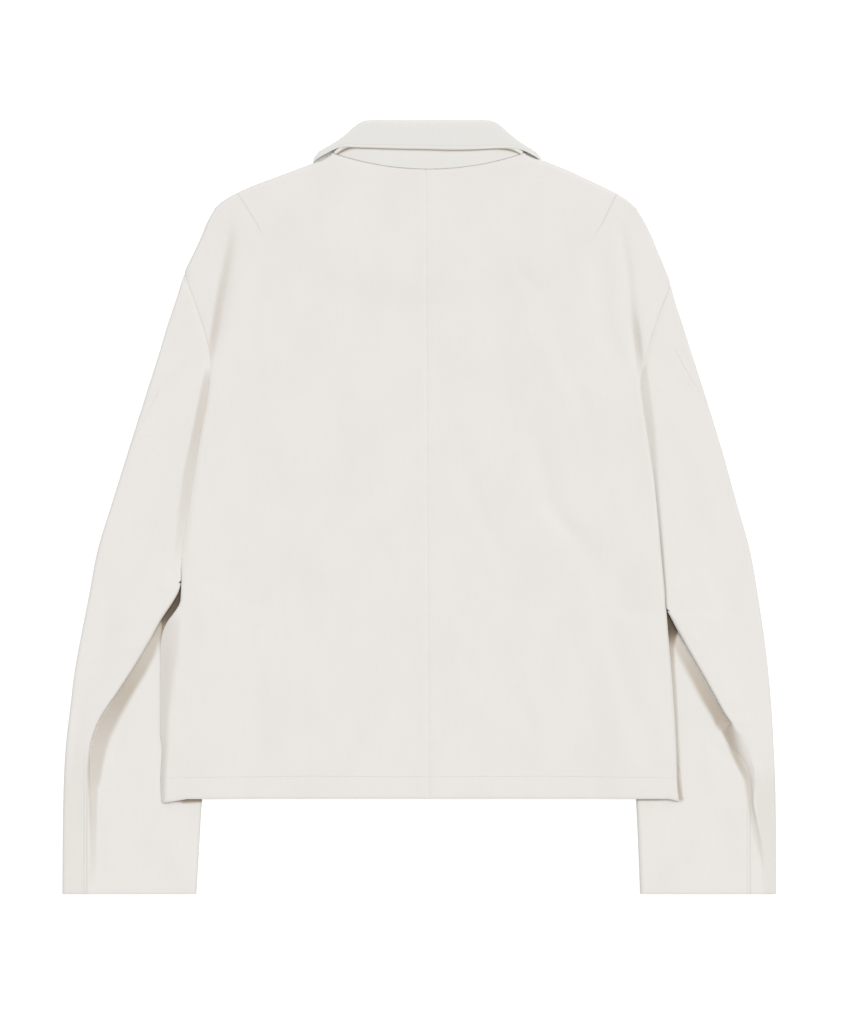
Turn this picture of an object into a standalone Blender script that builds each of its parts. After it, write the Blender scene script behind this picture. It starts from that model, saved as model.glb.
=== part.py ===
"""A boxy cotton jacket with a turned-down collar, laid flat with its back up.

Plan sizes are millimetres on a drafting board, x to the right and y down.  BOARD_X and
BOARD_Y are the board's point that becomes the part's origin, so the part is centred on it.
Heights are millimetres above the surface that the jacket lies on.  Each piece is drafted as
the outer face of its cloth, and Solidify gives it its thickness inwards.
"""
import math

import bmesh
import bpy

MM = 0.001
BOARD_X = 419.2
BOARD_Y = 507.3
WALL = 1.5                # one ply of cloth with its seam turnings
COLLAR_WALL = 2.2         # two plies and a stiffening, pressed together
SEAM_GAP = 0.3            # between two pieces that are sewn edge to edge
ELBOW_GAP = 0.6           # the same where the seam runs round the sleeve's edge
EDGE_LIFT = WALL + 0.8    # an upper piece's rolled edge above the lower piece's outer face
SHOULDER_ROLL = 6.0       # reach of the roll along the shoulder
FRONT_INSET = 0.4         # the fronts' side edges inside the back's
FRONT_DROP = 0.5          # their shoulder edges below the back's

# Heights of the layers.
BODY_TOP = 6.9            # the back's outer face where it lies plainly on the fronts
NECK_LIFT = 3.2           # the fronts, raised by the collar that lies beneath them
NECK_CROWN = 1.9          # what the back gains there
SIDE_LIFT = 5.4           # the fronts, raised by the sleeves that pass beneath them
SIDE_CROWN = 3.5          # what the back gains there
SLEEVE_ROLL = 3.4         # radius of the sleeve's outer edge
SIDE_START = 110.0        # the body starts to rise onto the sleeve this far above the underarm
SIDE_CLIMB = 104.0        # and has risen over this length
SIDE_FLAT = 5.0           # it stays level this far in from the sleeve's inner edge
SIDE_FADE = 42.0          # and has sunk over this width
CAP_CLIMB = 34.0          # width over which the sleeve's upper face meets the armhole's height
RIDGE_CLIMB = 70.0        # and the fold's ridge

# The centre lines, hem and collar.
CENTRE_TOP = 426.6        # centre back seam at the neck
CENTRE_HEM = 428.8        # and at the hem
COLLAR_X = 428.5
HEM_Y = 798.5
NECK_Y = 169.3            # lowest point of the back neck seam
NECK_RISE = 17.0
NECK_HALF = 95.0          # the neck seam rises NECK_RISE over this half width
NECK_END = 95.0           # half width where the back's neck edge meets the shoulder
FRONT_NECK_Y = 152.0
FRONT_NECK_HALF = 95.0
FRONT_NECK_DROP = 82.0
LAP_HALF = 11.0           # each front passes the centre by this much
LAP_LIFT = WALL + 0.7     # the right front, raised by the left front beneath it
LAP_FADE = 30.0           # it stays raised this far past the lap and has sunk as far again

# The rounded shoulder corner, where each back and front starts: (x, y) and the shoulder's
# line from there to the neck.
SHOULDER = {
    "left": [(215.5, 208.0), (222.0, 202.0), (234.0, 194.5), (252.0, 185.4), (268.0, 179.2),
             (285.0, 173.0), (300.0, 167.2), (309.0, 163.8), (316.0, 163.4), (321.0, 163.2),
             (327.0, 159.2), (333.5, 152.2)],
    "right": [(636.0, 208.5), (629.0, 202.0), (617.6, 194.5), (600.0, 185.6), (586.0, 179.2),
              (572.0, 172.8), (557.0, 166.8), (548.0, 163.6), (541.0, 163.4), (536.0, 163.2),
              (530.0, 159.2), (523.5, 152.2)],
}

# The back's outer boundary: y, x, the armhole seam's height above the surface where the
# edge is the armhole, and the reach of the roll that leads down to the edge.
BACK_EDGE = {
    "left": [
        (208.0, 215.5, 0.0, 6.0), (208.5, 215.1, 0.0, 6.0), (210.2, 213.8, 0.0, 6.0),
        (213.6, 211.6, 0.0, 6.0), (222.0, 207.0, 0.0, 6.0), (236.0, 201.0, 0.0, 6.0),
        (250.0, 195.0, 0.0, 6.0), (262.0, 187.8, 0.0, 6.0), (273.0, 185.0, 1.9, 6.0),
        (278.0, 186.3, 4.6, 7.0), (284.0, 188.2, 6.2, 8.0), (292.0, 191.0, 6.6, 9.0),
        (308.0, 197.3, 6.5, 10.0), (322.0, 202.0, 6.2, 11.0), (330.0, 204.3, 5.9, 12.0),
        (345.0, 208.3, 5.3, 13.0), (367.0, 211.0, 4.6, 14.0), (400.0, 207.0, 4.1, 14.0),
        (428.0, 199.5, 4.0, 13.0), (460.0, 193.0, 4.1, 12.0), (493.0, 187.5, 4.4, 11.0),
        (522.0, 182.5, 5.2, 10.0), (548.0, 179.6, 6.6, 9.0), (568.0, 180.0, 7.8, 8.0),
        (583.0, 181.5, 8.2, 8.0), (595.0, 179.0, 0.0, 10.0), (607.0, 174.0, 0.0, 13.0),
        (622.0, 166.5, 0.0, 15.0), (638.0, 162.2, 0.0, 15.0), (655.0, 160.7, 0.0, 15.0),
        (690.0, 160.6, 0.0, 11.0), (732.0, 160.9, 0.0, 8.0), (750.0, 162.6, 0.0, 6.0),
        (777.0, 160.6, 0.0, 6.0), (HEM_Y, 163.4, 0.0, 6.0)],
    "right": [
        (208.5, 636.0, 0.0, 6.0), (209.0, 636.4, 0.0, 6.0), (210.7, 637.4, 0.0, 6.0),
        (214.1, 639.0, 0.0, 6.0), (222.0, 642.8, 0.0, 6.0), (236.0, 649.8, 0.0, 6.0),
        (250.0, 656.2, 0.0, 6.0), (264.0, 663.4, 0.0, 6.0), (284.0, 670.2, 1.9, 6.0),
        (289.0, 668.8, 4.6, 7.0), (295.0, 667.0, 6.2, 8.0), (302.0, 664.0, 6.6, 9.0),
        (309.0, 660.4, 6.5, 10.0), (318.0, 657.0, 6.2, 11.0), (324.0, 655.4, 5.9, 12.0),
        (339.0, 651.0, 5.3, 13.0), (358.0, 645.6, 4.6, 14.0), (380.0, 641.2, 4.1, 11.0),
        (410.0, 644.8, 4.0, 8.0), (445.0, 650.0, 4.1, 7.0), (480.0, 655.0, 4.4, 7.0),
        (510.0, 657.4, 5.2, 7.0), (545.0, 660.4, 6.6, 7.0), (580.0, 663.6, 7.8, 7.0),
        (611.0, 666.4, 8.2, 7.0), (622.0, 667.8, 0.0, 7.0), (634.0, 668.8, 0.0, 7.0),
        (650.0, 669.8, 0.0, 6.0), (668.0, 670.8, 0.0, 6.0), (690.0, 672.0, 0.0, 6.0),
        (720.0, 674.4, 0.0, 6.0), (750.0, 677.0, 0.0, 6.0), (768.0, 678.4, 0.0, 6.0),
        (784.0, 679.6, 0.0, 6.0), (HEM_Y, 680.6, 0.0, 6.0)],
}
CAP_ROW = 8               # the row where the armhole starts, at the top of the sleeve's cap
UNDERARM_ROW = 24         # and where it ends

# The front's armhole, (y, x), beneath the sleeve's and the back's.
FRONT_ARMHOLE = {
    "left": [(273.0, 185.6), (292.0, 195.0), (320.0, 206.5), (350.0, 213.0), (380.0, 215.0),
             (428.0, 212.5), (493.0, 205.0), (548.0, 193.0), (583.0, 182.2)],
    "right": [(284.0, 669.6), (302.0, 661.0), (330.0, 649.5), (358.0, 642.0), (388.0, 638.0),
              (432.0, 639.0), (500.0, 644.5), (560.0, 655.0), (611.0, 665.6)],
}

# The sleeve's outer edge, (y, x), from the cap to the cuff.
SLEEVE_OUTER = {
    "left": [(273.0, 184.4), (299.0, 176.6), (325.0, 167.8), (350.0, 160.4), (400.0, 144.6),
             (450.0, 128.8), (500.0, 113.2), (550.0, 98.0), (600.0, 88.4), (650.0, 78.6),
             (675.0, 74.4), (700.0, 71.4), (750.0, 65.8), (800.0, 63.6), (893.6, 62.6)],
    "right": [(284.0, 670.8), (299.0, 674.0), (325.0, 682.4), (350.0, 690.4), (400.0, 706.4),
              (450.0, 721.8), (500.0, 735.6), (550.0, 749.6), (600.0, 758.4), (650.0, 765.6),
              (700.0, 770.6), (750.0, 773.6), (800.0, 775.4), (893.6, 775.8)],
}

# The elbow seam, (y, x), from the armhole to the sleeve's outer edge.
ELBOW_SEAM = {
    "left": [(326.0, 203.4), (345.0, 191.0), (370.0, 174.0), (393.0, 157.6), (414.0, 145.0)],
    "right": [(321.0, 656.2), (343.0, 671.0), (360.0, 680.2), (377.0, 689.2), (390.0, 697.6)],
}

# The sleeve's inner edge, (y, x), beneath the body and out to the cuff.
SLEEVE_INNER = {
    "left": [(583.0, 184.6), (590.0, 191.0), (600.0, 198.0), (620.0, 206.0), (650.0, 210.0),
             (700.0, 209.0), (750.0, 206.2), (801.0, 202.6), (850.0, 199.0), (893.6, 196.4)],
    "right": [(611.0, 663.4), (618.0, 656.0), (628.0, 648.0), (645.0, 640.0), (670.0, 635.4),
              (700.0, 634.2), (750.0, 634.8), (801.0, 636.6), (850.0, 638.4), (893.6, 640.0)],
}

# The long fold at the elbow, a row for each section: y, x of its edge, how far the cloth is
# tucked back beneath it, the turn of the cloth in degrees, and the heights of the ridge and
# of the forearm beside it.
ELBOW_FOLD = {
    "left": [
        (583.0, 181.0, 7.0, 180.0, 10.9, 4.4), (590.0, 177.2, 10.0, 180.0, 11.0, 4.4),
        (600.0, 171.6, 14.0, 180.0, 11.2, 4.4), (619.0, 161.0, 19.0, 180.0, 11.6, 4.4),
        (640.0, 147.8, 20.0, 180.0, 11.8, 4.5), (665.0, 132.2, 17.0, 180.0, 11.8, 4.8),
        (690.0, 116.6, 12.0, 180.0, 11.6, 5.0), (716.0, 101.4, 6.0, 180.0, 11.0, 5.2),
        (742.0, 91.4, 0.0, 135.0, 9.6, 5.0), (764.0, 88.8, 0.0, 90.0, 8.8, 4.8),
        (784.0, 88.4, 0.0, 60.0, 7.8, 4.8), (806.0, 88.6, 0.0, 42.0, 7.2, 5.0),
        (850.0, 89.4, 0.0, 28.0, 6.8, 5.4), (893.6, 90.4, 0.0, 18.0, 6.6, 5.8)],
    "right": [
        (611.0, 667.0, 7.0, 180.0, 10.9, 4.4), (618.0, 671.2, 10.0, 180.0, 11.0, 4.4),
        (628.0, 677.0, 13.0, 180.0, 11.2, 4.4), (645.0, 686.8, 17.0, 180.0, 11.6, 4.4),
        (668.0, 699.8, 18.0, 180.0, 11.8, 4.5), (692.0, 713.4, 15.0, 180.0, 11.8, 4.8),
        (716.0, 726.4, 10.0, 180.0, 11.4, 5.0), (744.0, 738.6, 5.0, 180.0, 10.8, 5.2),
        (768.0, 748.0, 0.0, 135.0, 9.6, 5.0), (786.0, 751.4, 0.0, 90.0, 8.6, 4.9),
        (802.0, 752.6, 0.0, 56.0, 7.7, 4.9), (824.0, 755.4, 0.0, 38.0, 7.1, 5.1),
        (858.0, 762.0, 0.0, 24.0, 6.8, 5.5), (893.6, 767.0, 0.0, 14.0, 6.6, 5.9)],
}
TUCK_ROLL = 0.35          # radius of the hidden turn at the bottom of the tuck
RIDGE_ROLL = 2.5          # radius of the ridge where the fold opens out
OPENING_TURN = 45.0       # the ridge has opened out this many degrees short of a full fold
SEAM_WRAP = 22.0          # the elbow seam rolls onto the outer edge over this length

# Half of the collar, from the centre back round to the front end.  For each station: the
# neck seam's, the roll's and the outer edge's offsets from the collar's centre line and their
# board y, the direction in degrees in which the fall lies off the stand (90 is on top of it,
# 0 outside it, -90 beneath it), the height midway, the spacing to either side and the
# edge's droop.
COLLAR = [
    (0.0, 168.7, 0.0, 121.2, 0.0, 149.6, 90.0, 9.2, 4.3, 1.6),
    (22.0, 167.8, 22.0, 121.2, 25.0, 149.6, 90.0, 9.2, 4.3, 1.6),
    (44.0, 165.1, 41.0, 121.2, 49.0, 149.4, 90.0, 9.2, 4.3, 1.6),
    (65.0, 160.6, 57.0, 121.2, 70.0, 148.4, 90.0, 9.2, 4.3, 1.6),
    (80.0, 156.4, 67.0, 121.8, 84.0, 147.8, 88.0, 9.0, 4.2, 1.6),
    (88.0, 153.6, 72.0, 124.0, 95.0, 149.2, 76.0, 8.6, 4.0, 1.5),
    (92.0, 151.8, 74.6, 127.0, 103.6, 152.0, 52.0, 7.8, 3.7, 1.0),
    (93.6, 151.0, 75.8, 130.0, 109.4, 155.4, 20.0, 6.8, 3.3, 0.5),
    (92.9, 151.2, 76.4, 133.2, 111.8, 158.4, -20.0, 5.4, 3.0, 0.0),
    (91.8, 152.8, 76.2, 137.0, 111.8, 162.0, -58.0, 3.2, 2.6, 0.0),
    (91.6, 159.0, 75.0, 143.0, 109.2, 169.0, -90.0, 2.4, 2.4, 0.0),
    (87.0, 182.2, 68.0, 164.0, 102.0, 196.0, -90.0, 2.4, 2.4, 0.0),
    (67.4, 207.9, 53.0, 191.0, 90.0, 228.0, -90.0, 2.4, 2.4, 0.0),
    (38.2, 225.5, 32.0, 212.0, 73.0, 252.0, -90.0, 2.4, 2.4, 0.0),
    (10.0, 229.6, 9.0, 221.0, 60.0, 262.0, -90.0, 2.4, 2.4, 0.0),
]
LEFT_FALL_WIDER = 4.0     # the fall reaches further out at the left shoulder
NECK_FIELD = (125.0, 80.0, 195.0)   # half width, half height and board y of the raised field

# Where the columns of a panel stand, as shares of its width from the side to the centre.
BACK_COLUMNS = (0.0, 0.0015, 0.006, 0.016, 0.035, 0.07, 0.13, 0.21, 0.31, 0.42, 0.488, 0.55,
                0.66, 0.77, 0.88, 1.0)
FRONT_COLUMNS = (0.0, 0.04, 0.1, 0.17, 0.25, 0.34, 0.42, 0.488, 0.55, 0.66, 0.77, 0.88, 1.0)
NECK_SHARE = 0.55         # share of a panel's width where its neck edge starts
SLEEVE_COLUMNS = (1.0, 0.8, 0.55, 0.3, 0.1, 0.0)    # the same across a sleeve's lower face
SEAM_COLUMNS = (0.0, 0.08, 0.35, 0.65, 1.0)         # and from the elbow seam round the edge
FOREARM_COLUMNS = (0.12, 0.3, 0.6, 1.0)             # and across the forearm past the fold


def smooth(share):
    """An even step from 0 to 1."""
    share = min(max(share, 0.0), 1.0)
    return share * share * (3.0 - 2.0 * share)


def along(table, key, column=1):
    """Read a column of a table at a key, on a smooth curve through its rows."""
    if key <= table[0][0]:
        return table[0][column]
    for row in range(len(table) - 1):
        low, high = table[row], table[row + 1]
        if key <= high[0]:
            break
    else:
        return table[-1][column]
    span = high[0] - low[0]
    chord = (high[column] - low[column]) / span
    before = table[row - 1] if row else low
    after = table[row + 2] if row + 2 < len(table) else high
    slope_low = (high[column] - before[column]) / (high[0] - before[0])
    slope_high = (after[column] - low[column]) / (after[0] - low[0])
    if not row:
        slope_low = chord
    if row + 2 >= len(table):
        slope_high = chord
    share = (key - low[0]) / span
    rest = 1.0 - share
    return (low[column] * (1.0 + 2.0 * share) * rest * rest
            + slope_low * span * share * rest * rest
            + high[column] * share * share * (3.0 - 2.0 * share)
            - slope_high * span * share * share * rest)


def out(side):
    """The board direction that leads away from the centre on this side."""
    return -1.0 if side == "left" else 1.0


def neck_field(x, y):
    """1 over the collar's front half, falling to 0 around it."""
    half_width, half_height, centre_y = NECK_FIELD
    reach = math.hypot((x - COLLAR_X) / half_width, (y - centre_y) / half_height)
    return 1.0 - smooth((reach - 1.0) / 0.5)


def side_field(side, x, y):
    """1 where the body lies on a sleeve, falling to 0 towards the centre and the armhole."""
    inward = (along(SLEEVE_INNER[side], y) - x) * out(side)
    underarm_y = BACK_EDGE[side][UNDERARM_ROW][0]
    down = smooth((y - (underarm_y - SIDE_START)) / SIDE_CLIMB)
    return down * (1.0 - smooth((inward - SIDE_FLAT) / SIDE_FADE))


def front_height(side, x, y):
    """Height of a front's outer face, which faces down."""
    return NECK_LIFT * neck_field(x, y) + SIDE_LIFT * side_field(side, x, y)


def back_height(side, x, y):
    """Height of the back's outer face away from its edges."""
    crown = NECK_CROWN * neck_field(x, y) + SIDE_CROWN * side_field(side, x, y)
    return BODY_TOP + crown


def rolled(height, edge_height, distance, reach):
    """The height at a distance from an edge that a round roll leads down to."""
    if distance >= reach:
        return height
    share = 1.0 - max(distance, 0.0) / reach
    return edge_height + (height - edge_height) * math.sqrt(1.0 - share * share)


def shoulder_y(side, x):
    """Board y of the shoulder line at x, read from the corner towards the neck."""
    table = [(-out(side) * point_x, point_y) for point_x, point_y in SHOULDER[side]]
    return along(table, -out(side) * x)


def back_neck_y(x):
    """Board y of the back's neck edge."""
    return NECK_Y - NECK_RISE * ((x - COLLAR_X) / NECK_HALF) ** 2


def front_neck_y(x):
    """Board y of a front's neck edge."""
    share = min(abs(x - COLLAR_X) / FRONT_NECK_HALF, 1.0)
    return FRONT_NECK_Y + FRONT_NECK_DROP * math.sqrt(1.0 - share * share)


def back_rows(side):
    """The back's outer face, a row of points for each row of BACK_EDGE."""
    edge = BACK_EDGE[side]
    corner_x, corner_y = SHOULDER[side][0]
    rows = []
    for row, (edge_y, edge_x, edge_height, reach) in enumerate(edge):
        down = (edge_y - corner_y) / (HEM_Y - corner_y)
        centre_x = CENTRE_TOP + (CENTRE_HEM - CENTRE_TOP) * down + out(side) * SEAM_GAP / 2
        points = []
        for share in BACK_COLUMNS:
            neck_x = COLLAR_X + out(side) * NECK_END
            on_neck = share >= NECK_SHARE
            if on_neck:
                neck_share = (share - NECK_SHARE) / (1.0 - NECK_SHARE)
                top_x = neck_x + (CENTRE_TOP - neck_x) * neck_share
            else:
                top_x = corner_x + (neck_x - corner_x) * share / NECK_SHARE
            top_y = back_neck_y(top_x) if on_neck else shoulder_y(side, top_x)
            x = edge_x + (centre_x - edge_x) * share
            y = top_y + (HEM_Y - top_y) * down
            height = back_height(side, x, y)
            in_armhole = CAP_ROW <= row <= UNDERARM_ROW
            side_edge = edge_height if in_armhole else front_height(side, x, y) + EDGE_LIFT
            height_in = rolled(height, side_edge, abs(x - edge_x), reach)
            if not on_neck:
                shoulder_edge = front_height(side, x, y) + EDGE_LIFT
                height_in = min(height_in, rolled(height, shoulder_edge, y - top_y, SHOULDER_ROLL))
            points.append((x, y, height_in))
        rows.append(points)
    return rows


def front_rows(side):
    """A front's outer face, which faces down: rows from the shoulder to the hem."""
    edge = BACK_EDGE[side]
    corner_x, corner_y = SHOULDER[side][0]
    inset = -out(side) * FRONT_INSET
    lap_x = COLLAR_X - out(side) * LAP_HALF
    rows = []
    for row, (edge_y, edge_x, _, _) in enumerate(edge):
        if not CAP_ROW <= row <= UNDERARM_ROW and row % 2 and row + 1 < len(edge):
            continue
        if CAP_ROW <= row <= UNDERARM_ROW:
            edge_x = along(FRONT_ARMHOLE[side], edge_y)
        else:
            edge_x += inset
        down = (edge_y - corner_y) / (HEM_Y - corner_y)
        points = []
        for share in FRONT_COLUMNS:
            if share < NECK_SHARE:
                neck_x = COLLAR_X + out(side) * FRONT_NECK_HALF
                top_x = corner_x + inset + (neck_x - corner_x - inset) * share / NECK_SHARE
                top_y = shoulder_y(side, top_x) + FRONT_DROP
            else:
                turn = math.pi / 2 * (share - NECK_SHARE) / (1.0 - NECK_SHARE)
                top_x = COLLAR_X + out(side) * FRONT_NECK_HALF * math.cos(turn)
                if share == 1.0:
                    top_x = lap_x
                top_y = front_neck_y(top_x)
            x_low = edge_x + (lap_x - edge_x) * share
            x = top_x + (x_low - top_x) * smooth(down * 5.0) if share else edge_x
            y = top_y + (HEM_Y - top_y) * down
            height = front_height(side, x, y)
            if side == "right":
                past_lap = x - COLLAR_X - LAP_HALF - LAP_FADE
                height += LAP_LIFT * (1.0 - smooth(past_lap / LAP_FADE))
            points.append((x, y, height))
        rows.append(points)
    return rows


class SleeveSection:
    """One section across a sleeve; inward distances are measured from its outer edge."""

    def __init__(self, side, y):
        self.side = side
        self.y = y
        self.outer = along(SLEEVE_OUTER[side], y)
        self.has_fold = y >= ELBOW_FOLD[side][0][0]
        if self.has_fold:
            fold_x, self.tuck, self.turn, self.ridge, self.forearm = (
                along(ELBOW_FOLD[side], y, column) for column in range(1, 6))
            self.end = self.inward(fold_x)
            self.end_height = self.ridge
            self.lower_end = self.inward(along(SLEEVE_INNER[side], y))
            self.reach = RIDGE_CLIMB
        else:
            self.end = self.inward(along(BACK_EDGE[side], y)) - SEAM_GAP
            self.end_height = along(BACK_EDGE[side], y, 2)
            self.lower_end = self.inward(along(FRONT_ARMHOLE[side], y)) - SEAM_GAP
            self.reach = CAP_CLIMB
        self.roll = min(SLEEVE_ROLL, self.end * 0.45, self.lower_end * 0.45)
        seam = ELBOW_SEAM[side]
        last_y, last_x = seam[-1]
        half_way = math.pi * self.roll * 0.45
        if y < seam[0][0]:
            self.seam = self.length_to(self.end)
        elif y <= last_y:
            self.seam = self.length_to(self.inward(along(seam, y)))
        else:
            start = self.length_to((along(SLEEVE_OUTER[side], last_y) - last_x) * out(side))
            wrapped = smooth((y - last_y) / SEAM_WRAP)
            self.seam = max(half_way, start + (half_way - start) * wrapped)

    def inward(self, x):
        """How far a board x lies inward of the sleeve's outer edge."""
        return (self.outer - x) * out(self.side)

    def length_to(self, inward):
        """Length of cloth from the bottom of the outer roll to a point on the upper face."""
        return math.pi * self.roll + inward - self.roll

    def at(self, length):
        """The point of the outer face at a length from the bottom of the outer roll."""
        if length <= math.pi * self.roll:
            turn = length / self.roll
            return self.roll - self.roll * math.sin(turn), self.roll - self.roll * math.cos(turn)
        inward = self.roll + length - math.pi * self.roll
        last = self.top_end()
        reach = min(self.reach, (last - self.roll) * 0.85)
        climb = smooth((inward - (last - reach)) / reach) if reach > 0.0 else 1.0
        return inward, 2 * self.roll + (self.end_height - 2 * self.roll) * climb

    def top_end(self):
        """Inward distance where the upper face ends: its armhole edge or the ridge's roll."""
        return self.end - self.ridge_roll() if self.has_fold else self.end

    def ridge_roll(self):
        """Radius of the fold's ridge, which fills the fold's height where it is fully turned."""
        full = (self.ridge - self.forearm) / 2 - TUCK_ROLL
        opened = smooth((180.0 - self.turn) / OPENING_TURN)
        return full + (RIDGE_ROLL - full) * opened

    def top_points(self):
        """The topsleeve: the lower face, the outer roll and the upper face up to the seam."""
        lower = [(self.roll + (self.lower_end - self.roll) * share, 0.0)
                 for share in SLEEVE_COLUMNS]
        knee = min(math.pi * self.roll, self.seam * 0.7)
        rounded = [self.at(knee * step / 5) for step in range(1, 6)]
        upper = [self.at(knee + (self.seam - knee) * step / 3) for step in range(1, 4)]
        return lower + rounded + upper

    def under_points(self):
        """The undersleeve's upper face, from the elbow seam to the armhole or the ridge."""
        start = self.seam + ELBOW_GAP
        last = self.length_to(self.top_end())
        knee = max(math.pi * self.roll, start + (last - start) * 0.12)
        points = [self.at(start + (knee - start) * share) for share in SEAM_COLUMNS]
        points += [self.at(knee + (last - knee) * step / 5) for step in range(1, 6)]
        return points

    def fold_points(self):
        """The fold, the forearm's upper face and its rolled inner edge."""
        turn = math.radians(self.turn)
        ridge_roll = self.ridge_roll()
        centre = self.end - ridge_roll
        points = []
        for step in range(1, 6):
            angle = turn * step / 5
            points.append((centre + ridge_roll * math.sin(angle),
                           self.ridge - ridge_roll * (1.0 - math.cos(angle))))
        run = self.tuck
        if self.turn < 179.0:
            fall = self.ridge - self.forearm - (ridge_roll + TUCK_ROLL) * (1.0 - math.cos(turn))
            run = max(fall / math.sin(turn), 0.2)
        start_in, start_height = points[-1]
        for step in (1, 2):
            points.append((start_in + run * math.cos(turn) * step / 2,
                           start_height - run * math.sin(turn) * step / 2))
        centre_in = points[-1][0] + TUCK_ROLL * math.sin(turn)
        centre_height = points[-1][1] + TUCK_ROLL * math.cos(turn)
        for step in (1, 2):
            angle = turn * (1.0 - step / 2)
            points.append((centre_in - TUCK_ROLL * math.sin(angle),
                           centre_height - TUCK_ROLL * math.cos(angle)))
        last_in = points[-1][0]
        edge_roll = self.forearm - EDGE_LIFT
        flat_end = self.lower_end - edge_roll
        for share in FOREARM_COLUMNS:
            points.append((last_in + (flat_end - last_in) * share, self.forearm))
        for step in (1, 2, 3):
            angle = math.pi / 2 * step / 3
            points.append((flat_end + edge_roll * math.sin(angle),
                           self.forearm - edge_roll * (1.0 - math.cos(angle))))
        return points

    def place(self, points):
        """Put section points on the board."""
        return [(self.outer - inward * out(self.side), self.y, height)
                for inward, height in points]


def sleeve_stations(side):
    """Board y of each section: the armhole's rows down to the underarm, then the fold's."""
    upper = [row[0] for row in BACK_EDGE[side][CAP_ROW + 1:UNDERARM_ROW]]
    lower = [row[0] for row in ELBOW_FOLD[side]]
    return upper + lower


def topsleeve_rows(side):
    """The topsleeve, from the front armhole and the inner edge to the elbow seam."""
    sections = [SleeveSection(side, y) for y in sleeve_stations(side)]
    return [section.place(section.top_points()) for section in sections]


def undersleeve_rows(side):
    """The undersleeve, from the elbow seam to the armhole and round the fold to the inner edge."""
    first_y = ELBOW_SEAM[side][0][0]
    rows = []
    for y in sleeve_stations(side):
        if y < first_y + 2.0:
            continue
        section = SleeveSection(side, y)
        points = section.under_points()
        if section.has_fold:
            points += section.fold_points()
        rows.append(section.place(points))
    return rows


def collar_rows():
    """The collar's neck-side face: along the stand, round the roll and down the fall."""
    left = [collar_station(values, LEFT_FALL_WIDER) for values in COLLAR]
    right = [[(2 * COLLAR_X - x, y, height) for x, y, height in collar_station(values, 0.0)]
             for values in COLLAR[1:]]
    return right[::-1] + left


def collar_station(values, wider):
    """One section of the collar, drafted on the left half."""
    neck_dx, neck_y, roll_dx, roll_y, edge_dx, edge_y, lie, middle, spacing, droop = values
    neck = (COLLAR_X - neck_dx, neck_y)
    roll = (COLLAR_X - roll_dx, roll_y)
    edge = (COLLAR_X - edge_dx - wider * smooth((edge_dx - 80.0) / 25.0), edge_y)
    run_x, run_y = roll[0] - neck[0], roll[1] - neck[1]
    length = math.hypot(run_x, run_y)
    away = (run_x / length, run_y / length)
    outward = (away[1], -away[0])
    if outward[0] > 0.0:
        outward = (-outward[0], -outward[1])
    lie = math.radians(lie)
    side_step = spacing * math.cos(lie)
    rise = spacing * math.sin(lie)

    def near_roll(turn):
        """A point on the round roll, turn radians from the stand's face to the fall's."""
        back = spacing * (1.0 - math.sin(turn))
        shift = -math.cos(turn)
        return (roll[0] - away[0] * back + outward[0] * side_step * shift,
                roll[1] - away[1] * back + outward[1] * side_step * shift,
                middle + rise * shift)

    def between(start, finish, share):
        """A point at a share of the way from start to finish."""
        return tuple(a + (b - a) * share for a, b in zip(start, finish))

    start = (neck[0], neck[1], middle - rise)
    finish = (edge[0], edge[1], middle + rise - droop)
    points = [between(start, near_roll(0.0), share) for share in (0.0, 0.35, 0.7)]
    points += [near_roll(math.pi * step / 4) for step in range(5)]
    points += [between(near_roll(math.pi), finish, share) for share in (0.35, 0.7, 1.0)]
    return points


def cloth_material(name, colour, roughness):
    """A matt cotton finish."""
    material = bpy.data.materials.new(name)
    material.use_nodes = True
    shader = material.node_tree.nodes["Principled BSDF"]
    shader.inputs["Base Color"].default_value = (*colour, 1.0)
    shader.inputs["Roughness"].default_value = roughness
    shader.inputs["Metallic"].default_value = 0.0
    return material


def add_cloth(name, rows, wall, flip, material):
    """A sheet through rows of board points, as a closed wall that grows inwards.

    A short row leaves out the last columns; faces are made where both rows have them.
    """
    mesh = bpy.data.meshes.new(name)
    work = bmesh.new()
    grid = [[work.verts.new(((x - BOARD_X) * MM, (BOARD_Y - y) * MM, height * MM))
             for x, y, height in row] for row in rows]
    for upper, lower in zip(grid, grid[1:]):
        for column in range(min(len(upper), len(lower)) - 1):
            corners = [upper[column], lower[column], lower[column + 1], upper[column + 1]]
            work.faces.new(corners[::-1] if flip else corners)
    loose = [vertex for vertex in work.verts if not vertex.link_faces]
    bmesh.ops.delete(work, geom=loose, context="VERTS")
    work.to_mesh(mesh)
    work.free()
    mesh.shade_smooth()
    mesh.materials.append(material)
    cloth = bpy.data.objects.new(name, mesh)
    bpy.context.collection.objects.link(cloth)
    solidify = cloth.modifiers.new("Wall", "SOLIDIFY")
    solidify.thickness = wall * MM
    solidify.offset = -1.0
    solidify.use_even_offset = False
    solidify.use_rim = True
    return cloth


def main():
    for old in list(bpy.data.objects):
        bpy.data.objects.remove(old, do_unlink=True)
    body_cloth = cloth_material("Body cotton", (0.82, 0.8, 0.75), 0.85)
    sleeve_cloth = cloth_material("Sleeve cotton", (0.81, 0.79, 0.74), 0.85)
    collar_cloth = cloth_material("Collar cotton", (0.8, 0.79, 0.75), 0.85)
    for side in ("left", "right"):
        mirror = side == "right"
        add_cloth("back_" + side, back_rows(side), WALL, mirror, body_cloth)
        add_cloth("front_" + side, front_rows(side), WALL, not mirror, body_cloth)
        add_cloth("topsleeve_" + side, topsleeve_rows(side), WALL, mirror, sleeve_cloth)
        add_cloth("undersleeve_" + side, undersleeve_rows(side), WALL, mirror, sleeve_cloth)
    add_cloth("collar", collar_rows(), COLLAR_WALL, False, collar_cloth)


main()
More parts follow.
